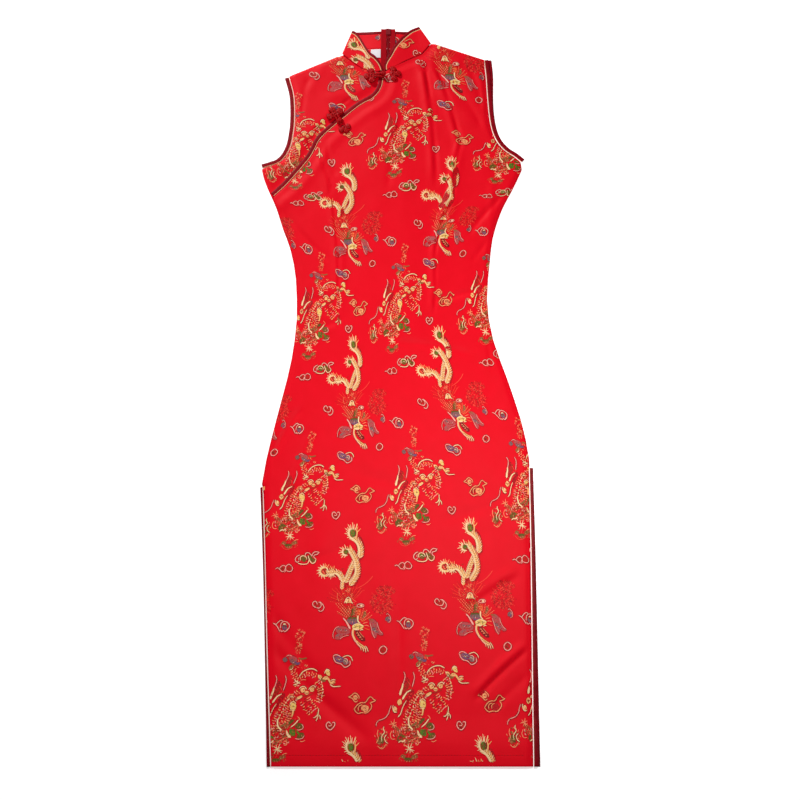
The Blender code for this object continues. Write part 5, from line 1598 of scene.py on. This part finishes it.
FRONT_TRIMS = []
BACK_TRIMS = []
for side, armhole, outward, shows in (
    ("left", ARMHOLE_LEFT, 1.0, 0.0), ("right", ARMHOLE_RIGHT, -1.0, BACK_SHOWS_ARMHOLE)
):
    seam = through(points_of(armhole), 120)
    FRONT_TRIMS += add_edge_trim(
        "armhole_front_" + side, seam, BINDING, outward, front_height, thin=ARMHOLE_THIN
    )
    wider = shows * (0.2 + 0.8 * smooth((np.linspace(0.0, 1.0, len(seam)) - 0.5) / 0.45))
    back_seam = seam + (to_left(seam, outward) - seam) * wider[:, None]
    BACK_TRIMS += add_edge_trim("armhole_back_" + side, back_seam, BINDING, outward, back_height, flat=True)
SLIT_TRIM = {"thin": SLIT_THIN, "satin": DEEP_BIAS}
for side, slit, outward, shows in (
    ("left", SLIT_LEFT, -1.0, 0.4), ("right", SLIT_RIGHT, 1.0, BACK_SHOWS_SLIT)
):
    run = through(np.column_stack([slit["x"], slit["y"], slit["binding"]]), 150)
    seam, width = run[:, :2], run[:, 2]
    seam[0, 1] -= 1.5
    FRONT_TRIMS += add_edge_trim("slit_front_" + side, seam, width, outward, front_height, **SLIT_TRIM)
    wider = np.linspace(0.4, shows, len(seam))
    back_seam = seam + (to_left(seam, outward) - seam) * wider[:, None]
    BACK_TRIMS += add_edge_trim(
        "slit_back_" + side, back_seam, width, outward, back_height, flat=True, **SLIT_TRIM
    )

PLACKET_RUN = through(points_of(PLACKET), 150)
ON_CLOTH = CLOTH / 2 + 1.6 * GAP
PLACKET_PIPE = THIN * PIPING / 2
placket_parts = binding_parts(
    to_left(PLACKET_RUN, PLACKET_PIPE - 0.1), to_left(PLACKET_RUN, PIPING / 2 + GAP + BINDING),
    lambda x, y: front_height(x, y) + ON_CLOTH + 0.6, 1.15,
)
FRONT_TRIMS.append(add_trim("binding_placket", placket_parts, BIAS))
placket_line = np.column_stack([PLACKET_RUN, front_height(*PLACKET_RUN.T) + ON_CLOTH + PIPING / 2])
placket_parts = tube_parts(placket_line, PLACKET_PIPE, 10)
FRONT_TRIMS.append(add_trim("piping_placket", placket_parts, GILT))

LEFT_WING_LAY = turned_about(-3, -178, -67.7, 576.4, 26)
DUCK_LAY = turned_about(15, -125, 17.2, 574.6, -20)
HEART_LAY = turned_about(158, -145, 40.3, 557.0, -30)
NAPE_LAY = turned_about(47, -1, -27.4, 589.5, 0)
AWAY = 1000.0


def right_wing_lay(u, v, across):
    """The duck's cloud lies at the top of the right wing and a heart below it, and no more of the repeat."""
    x, y = DUCK_LAY(u, v, across)
    heart_x, heart_y = HEART_LAY(u, v, across)
    duck = (across == 0) & (u > -12.0) & (u < 34.0) & (v > -136.0) & (v < -104.0)
    heart = (across == 0) & (u > 148.0) & (u < 168.0) & (v > -154.0) & (v < -136.0)
    return np.where(duck, x, np.where(heart, heart_x, AWAY)), np.where(heart, heart_y, y)


def nape_lay(u, v, across):
    x, y = NAPE_LAY(u, v, across)
    return np.where(u + across * REPEAT_WIDTH > 40.0, x, AWAY), y


# How the repeat lies on each wing of the collar and on the nape.
COLLAR_LAYS = {"left": LEFT_WING_LAY, "right": right_wing_lay, "nape": nape_lay}


def collar_pattern(side, grid, sections):
    """The woven pattern on the wing and, in another lay, on the inside of the nape behind it."""
    upper = sections[:, 5] > 0.93
    wing = grid[upper]
    nape = grid[sections[:, 5] < 0.01]

    def wing_height(x, y):
        return layer_height(x, y) + (COLLAR - CLOTH) / 2 + COLLAR_WALL / 2

    def nape_height(x, y):
        return COLLAR / 2 + back_arch(x, y) + COLLAR_WALL / 2

    return [
        make_pattern(f"collar_pattern_{side}", COLLAR_LAYS[side], inside_of(rim_of(wing)), wing_height),
        make_pattern(f"nape_pattern_{side}", COLLAR_LAYS["nape"], inside_of(rim_of(nape)), nape_height),
    ]


COLLARS = {}
for side, wing, nape in (("left", WING_LEFT, NAPE_LEFT), ("right", WING_RIGHT, NAPE_RIGHT)):
    sections = collar_sections(wing, nape)
    beside = COLLAR / 2 + GAP
    grid = collar_band(sections, None, -beside - 0.15, 30)
    COLLARS[side] = make_cloth("collar_" + side, grid, COLLAR_WALL, SATIN)
    COLLARS[side + "_grid"] = grid
    COLLARS[side + "_pattern"] = collar_pattern(side, grid, sections)
    seam = collar_band(sections, 0.0, 0.001, 2)[:, 0]
    seam[:, 2] -= 0.3 * (1 - sections[:, 5])
    piping_parts = tube_parts(seam, 0.42 + 0.33 * sections[:, 5], 10)
    piping = add_trim("piping_collar_" + side, piping_parts, GILT)
    band = collar_band(sections, (beside + 0.05) - 1.6 * (1 - sections[:, 5:6]), None, 7)
    band[:, :, 2] += 0.3 * (1 - sections[:, 5:6])
    binding = make_cloth("binding_collar_" + side, band, COLLAR_WALL, BIAS)
    COLLARS[side + "_trims"] = [piping, binding]


# -------- the zip and the label


def tape_height(x, y):
    """Middle height of the zip tapes, which lie on the inside of the back and its collar."""
    return 1.5 * CLOTH + GAP + back_arch(x, y) + (COLLAR - CLOTH) * smooth((y - 554.0) / 11.0)


COIL_PITCH = 1.5
COIL_RADIUS = 0.3


def coil_path(sign):
    """The zip's coil on one side: a flattened helix along the tape.

    x = centre + sign (1.15 + 1.25 cos a) and z = height + 0.15 + 0.36 sin a, while y rises by COIL_PITCH for
    each turn of a. The two sides are half a turn apart."""
    turns = (CHAIN_TOP - 0.6 - ZIP_BOTTOM) / COIL_PITCH
    a = np.linspace(0.0, turns * 2 * np.pi, int(turns * 7))
    y = ZIP_BOTTOM + a / (2 * np.pi) * COIL_PITCH + (COIL_PITCH / 2 if sign > 0 else 0.0)
    x = ZIP_X + sign * (1.15 + 1.25 * np.cos(a))
    return np.column_stack([x, y, tape_height(x, y) + 0.15 + 0.36 * np.sin(a)])


ZIP_PIECES = []
rows = np.linspace(ZIP_BOTTOM, ZIP_TOP, 180)
for side, sign in (("left", -1.0), ("right", 1.0)):
    inner = np.column_stack([np.full(len(rows), ZIP_X + sign * (CHAIN_WIDTH / 2 + 0.1)), rows])
    outer = inner + [sign * TAPE_WIDTH, 0.0]
    edges = (inner, outer) if sign > 0 else (outer, inner)
    grid = rows_between(*edges, 10, tape_height)
    ZIP_PIECES.append(make_cloth("zip_tape_" + side, grid, 0.8, TAPE))
core = np.column_stack([np.full(60, ZIP_X), np.linspace(ZIP_BOTTOM + 1.0, CHAIN_TOP - 1.0, 60)])
coils = joined([
    tube_parts(coil_path(-1.0), COIL_RADIUS, 5), tube_parts(coil_path(1.0), COIL_RADIUS, 5),
    binding_parts(core - [2.2, 0.0], core + [2.2, 0.0], lambda x, y: tape_height(x, y) - 0.05, 0.5),
])
COILS = make_piece("zip_chain_coils", coils[0], coils[1], COIL, uv=coils[2])
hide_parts("zip_chain")
ZIP_PIECES.append(COILS)
for node in ("zip_slider", "zip_pull"):
    for material_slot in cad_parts[node].material_slots:
        material_slot.material = ENAMEL

LABEL_LEFT = -38.6
LABEL_RIGHT = ZIP_X - CHAIN_WIDTH / 2 - 2 * GAP - TAPE_WIDTH
label_rows = np.linspace(549.8, 566.0, 24)
LABEL_GRID = rows_between(
    np.column_stack([np.full(24, LABEL_LEFT), label_rows]),
    np.column_stack([np.full(24, LABEL_RIGHT), label_rows]),
    32, lambda x, y: 1.5 * CLOTH + GAP + back_arch(x, y) + 0.12 * np.sin(x / 3.1) * np.sin(y / 4.3),
)
LABEL = make_cloth("label", LABEL_GRID, 0.6, RIBBON)


# -------- the frogs


def frog_cover(x, y):
    """Height of the top of what lies under a frog: the front, the placket's trims and the collar."""
    near = smooth((44.0 - distance_to(x, y, PLACKET_LINE)) / 24.0)
    return layer_height(x, y) + COLLAR / 2 + (COLLAR - CLOTH) / 2 + 1.6 * near


# One petal of a frog in polar places about its hub: a part of PETAL_REACH, and degrees from its axis.
PETAL = table(
    "reach turn",
    (0.46, -21.0), (0.60, -19.5), (0.76, -23.0), (0.91, -17.5), (1.0, 0.0),
    (0.91, 17.5), (0.76, 23.0), (0.60, 19.5), (0.46, 21.0),
)
# Radii of the cords that make a half: its outline, the ring inside each petal and the one round its hub.
OUTER_CORD = 1.36 * CORD / 2
INNER_CORD = 2.2
HUB_CORD = 1.5
# The two frogs: where the knot lies, the turn from it to the loop half, and the length of each half, with the
# scale at which the half's cords are drawn.
FROGS = {
    "neck": {"knot": (-16.8, 513.9), "turn": 185.0, "loop": 33.0, "end": 30.5, "sizes": (1.0, 1.0)},
    "placket": {"knot": (-89.2, 424.7), "turn": 122.0, "loop": 30.0, "end": 28.0, "sizes": (1.1, 0.76)},
}


def petal_ring(turns, reaches):
    """A closed line of cord through petals about a hub, with a petal at each turn in degrees."""
    points = []
    for index, (turn, reach) in enumerate(zip(turns, reaches)):
        for part, degrees in zip(PETAL["reach"], PETAL["turn"]):
            stretch = float((reach - PETAL_REACH) * smooth((part - 0.5) / 0.2))
            points.append(part * PETAL_REACH * direction(turn + degrees) + stretch * direction(turn))
        following = turns[(index + 1) % len(turns)] + (360 if index + 1 == len(turns) else 0)
        points.append(0.32 * PETAL_REACH * direction((turn + following) / 2))
    return np.array(points)


def rounded_ring(points, count):
    """A closed smooth line through points, which it passes in order."""
    looped = np.concatenate([points[-3:], points, points[:4]])
    marks = distances_along(looped)
    wanted = np.linspace(marks[3], marks[3 + len(points)], count, endpoint=False)
    dense = through(looped, len(looped) * 16)
    run = distances_along(dense)
    scale = run[-1] / marks[-1]
    return np.column_stack([np.interp(wanted * scale, run, dense[:, k]) for k in range(2)])


def add_frog(name, knot, turn, loop, end, sizes):
    """A frog: a loop half, an end half and the ball knot where they meet. sizes are the halves' scales."""
    knot = np.array(knot)
    toward = direction(turn)
    outer = PETAL_REACH + CORD / 2
    hub_to_knot = loop - outer
    halves = (
        ("loop", knot + toward * hub_to_knot, [turn - 84, turn, turn + 84, turn + 180],
         [PETAL_REACH] * 3 + [hub_to_knot + 1.6]),
        ("end", knot - toward * (end - outer), [turn + 96, turn + 180, turn + 264], [PETAL_REACH] * 3),
    )
    for size, (half, hub, turns, reaches) in zip(sizes, halves):
        ring = size * rounded_ring(petal_ring(turns, reaches), 260) + hub
        height = frog_cover(ring[:, 0], ring[:, 1]) + GAP + CORD / 2
        parts = [tube_parts(np.column_stack([ring, height]), OUTER_CORD, 12, closed=True)]
        for petal_turn in turns[:3]:
            way = direction(petal_turn)
            side = np.array([-way[1], way[0]])
            a = np.linspace(0.0, 2 * np.pi, 40, endpoint=False)
            inner = way * (8.0 + 2.4 * np.cos(a)[:, None]) + side * (1.3 * np.sin(a)[:, None])
            inner = hub + size * inner
            low = frog_cover(inner[:, 0], inner[:, 1]) + GAP + CORD / 2 + 0.5
            parts.append(tube_parts(np.column_stack([inner, low]), INNER_CORD, 10, closed=True))
        a = np.linspace(0.0, 2 * np.pi, 30, endpoint=False)
        bound = hub + 2.3 * np.column_stack([np.cos(a), np.sin(a)])
        high = frog_cover(bound[:, 0], bound[:, 1]) + GAP + CORD / 2 + 1.1
        parts.append(tube_parts(np.column_stack([bound, high]), HUB_CORD, 10, closed=True))
        points, faces, marks = joined(parts)
        obj = make_piece(f"frog_{name}_{half}_cord", points, faces, ROULEAU, uv=marks)
        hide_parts(f"frog_{name}_{half}")
    add_knot(name, knot)


def add_knot(name, knot):
    """The ball knot: a cord that winds over a ball, three times round while it rises and falls four times.

    At the part a of its way it is at longitude 3 a and at a latitude of 52 sin 4 a degrees on a flat ball."""
    base = float(frog_cover(*knot)) + GAP + CORD + 3.0
    a = np.linspace(0.0, 2 * np.pi, 420, endpoint=False)
    longitude = 3 * a
    latitude = np.radians(52.0) * np.sin(4 * a)
    reach = 3.0 + 0.42 * np.cos(8 * a)
    path = np.column_stack([
        reach * np.cos(latitude) * np.cos(longitude),
        reach * np.cos(latitude) * np.sin(longitude),
        2.3 * np.sin(latitude) + 0.2 * np.cos(8 * a),
    ])
    core_turn = np.linspace(-0.5, 0.5, 12) * np.pi
    core = np.column_stack([np.zeros(12), np.zeros(12), 2.4 * np.sin(core_turn)])
    parts = joined([
        tube_parts(path, 1.25, 10, closed=True),
        tube_parts(core, 3.0 * np.cos(core_turn) + 0.05, 16),
    ])
    obj = make_piece(
        f"frog_{name}_ball", parts[0] + [*knot, base], parts[1], ROULEAU, uv=parts[2]
    )
    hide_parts(f"frog_{name}_knot")


for frog_name, frog in FROGS.items():
    add_frog(frog_name, **frog)


# -------- the stitches


def add_stitches(name, path, pitch, part, radius, silk):
    """A row of stitches along a line: each is a short thread that dips at its ends."""
    run = distances_along(path)
    parts = []
    for start in np.arange(0.0, run[-1] - pitch, pitch):
        t = np.linspace(0.0, 1.0, 4)
        at = start + t * pitch * part
        line = np.column_stack([np.interp(at, run, path[:, k]) for k in range(3)])
        line[:, 2] += radius * (np.sin(np.pi * t) - 0.7)
        parts.append(tube_parts(line, radius, 4))
    points, faces, _ = joined(parts)
    return make_piece(name, points, faces, THREAD, colours=np.tile(SILKS[silk], (len(points), 1)))


hem_x = np.linspace(-176.0, 190.0, 180)
hem_y = np.full(180, HEM_Y + HEM_DEPTH - 4.4)
hem_line = np.column_stack([hem_x, hem_y, height_on(FRONT_GRID)(hem_x, hem_y) + FRONT_WALL / 2])
HEM_STITCHES = add_stitches("hem_stitches", hem_line, 4.2, 0.66, 0.26, "dusk")
# A bar tack at the top of each slit: close stitches across a short line beside the piping.
tack_parts = []
for slit, inward in ((SLIT_LEFT, 1.0), (SLIT_RIGHT, -1.0)):
    top_x, top_y = slit["x"][0] + inward * 2.0, slit["y"][0] - 1.0
    for step in range(9):
        tack_x = top_x + inward * np.linspace(-0.8, 1.9, 4)
        tack_y = np.full(4, top_y - 0.62 * step)
        tack_z = front_height(tack_x, tack_y) + CLOTH / 2 + 0.12 + 0.1 * np.sin(np.linspace(0.0, np.pi, 4))
        tack_parts.append(tube_parts(np.column_stack([tack_x, tack_y, tack_z]), 0.28, 5))
tack_points, tack_faces, _ = joined(tack_parts)
BAR_TACKS = make_piece(
    "slit_bar_tacks", tack_points, tack_faces, THREAD,
    colours=np.tile(SILKS["gold"], (len(tack_points), 1)),
)
label_edge = np.array([(-38.0, 565.4), (-38.0, 550.4), (-22.2, 550.4), (-22.2, 565.4), (-38.0, 565.4)])
label_edge = np.column_stack([label_edge, 1.5 * CLOTH + GAP + back_arch(*label_edge.T) + 0.34])
LABEL_STITCHES = add_stitches("label_stitches", label_edge, 2.4, 0.6, 0.12, "cream")


# -------- flat sizes, stage and light

declare(with_hem(FRONT_GRID, -1), ["upper_front_cloth", "back_left_cloth", "back_right_cloth"],
        [FRONT_PATTERN, HEM_STITCHES, BAR_TACKS, *FRONT_TRIMS])
declare(UPPER_GRID, ["back_left_cloth"], [UPPER_PATTERN])
for side in ("left", "right"):
    trims = BACK_TRIMS + ZIP_PIECES if side == "right" else []
    declare(with_hem(BACKS[side + "_grid"], 1), [], [BACKS[side + "_pattern"], *trims])
    declare(COLLARS[side + "_grid"], ["back_" + side + "_cloth"],
            COLLARS[side + "_trims"] + COLLARS[side + "_pattern"])
declare(LABEL_GRID, ["back_left_cloth"], [LABEL_STITCHES])

camera_data = bpy.data.cameras.new("camera")
camera_data.lens = 50.0
camera_data.sensor_width = 36.0
camera = add_object("camera", camera_data)
camera.location = (0.0114, -0.5624, 1.6694)
aim = Vector((0.0114, -0.0647, 0.0)) - camera.location
camera.rotation_euler = aim.to_track_quat("-Z", "Y").to_euler()
bpy.context.scene.camera = camera

FLOOR_REACH = 4.0
FLOOR_Z = -0.0003
floor_points = [(x * FLOOR_REACH, y * FLOOR_REACH, FLOOR_Z) for x, y in ((-1, -1), (1, -1), (1, 1), (-1, 1))]
floor_data = bpy.data.meshes.new("floor")
floor_data.from_pydata(floor_points, [], [(0, 1, 2, 3)])
floor_data.materials.append(FLOOR)
floor = add_object("floor", floor_data)

LIGHT_AIM = Vector((0.02, 0.0, 0.0))


def add_light(name, place, size, power):
    """A round lamp of a size in metres and a power in watts, which faces the dress."""
    light_data = bpy.data.lights.new(name, "AREA")
    light_data.shape = "DISK"
    light_data.size = size
    light_data.energy = power
    light = add_object(name, light_data)
    light.location = place
    light.visible_camera = False
    light.rotation_euler = (LIGHT_AIM - Vector(place)).to_track_quat("-Z", "Y").to_euler()


add_light("overhead_light", (0.183, -0.18, 0.8), 0.2, 5.5)
add_light("key_light", (-1.0, 2.0, 1.15), 0.3, 52.0)
world = bpy.data.worlds.new("studio")
world.use_nodes = True
background = world.node_tree.nodes["Background"]
background.inputs["Color"].default_value = (1.0, 1.0, 1.0, 1.0)
background.inputs["Strength"].default_value = 0.12
bpy.context.scene.world = world
bpy.context.scene.view_settings.view_transform = "Standard"
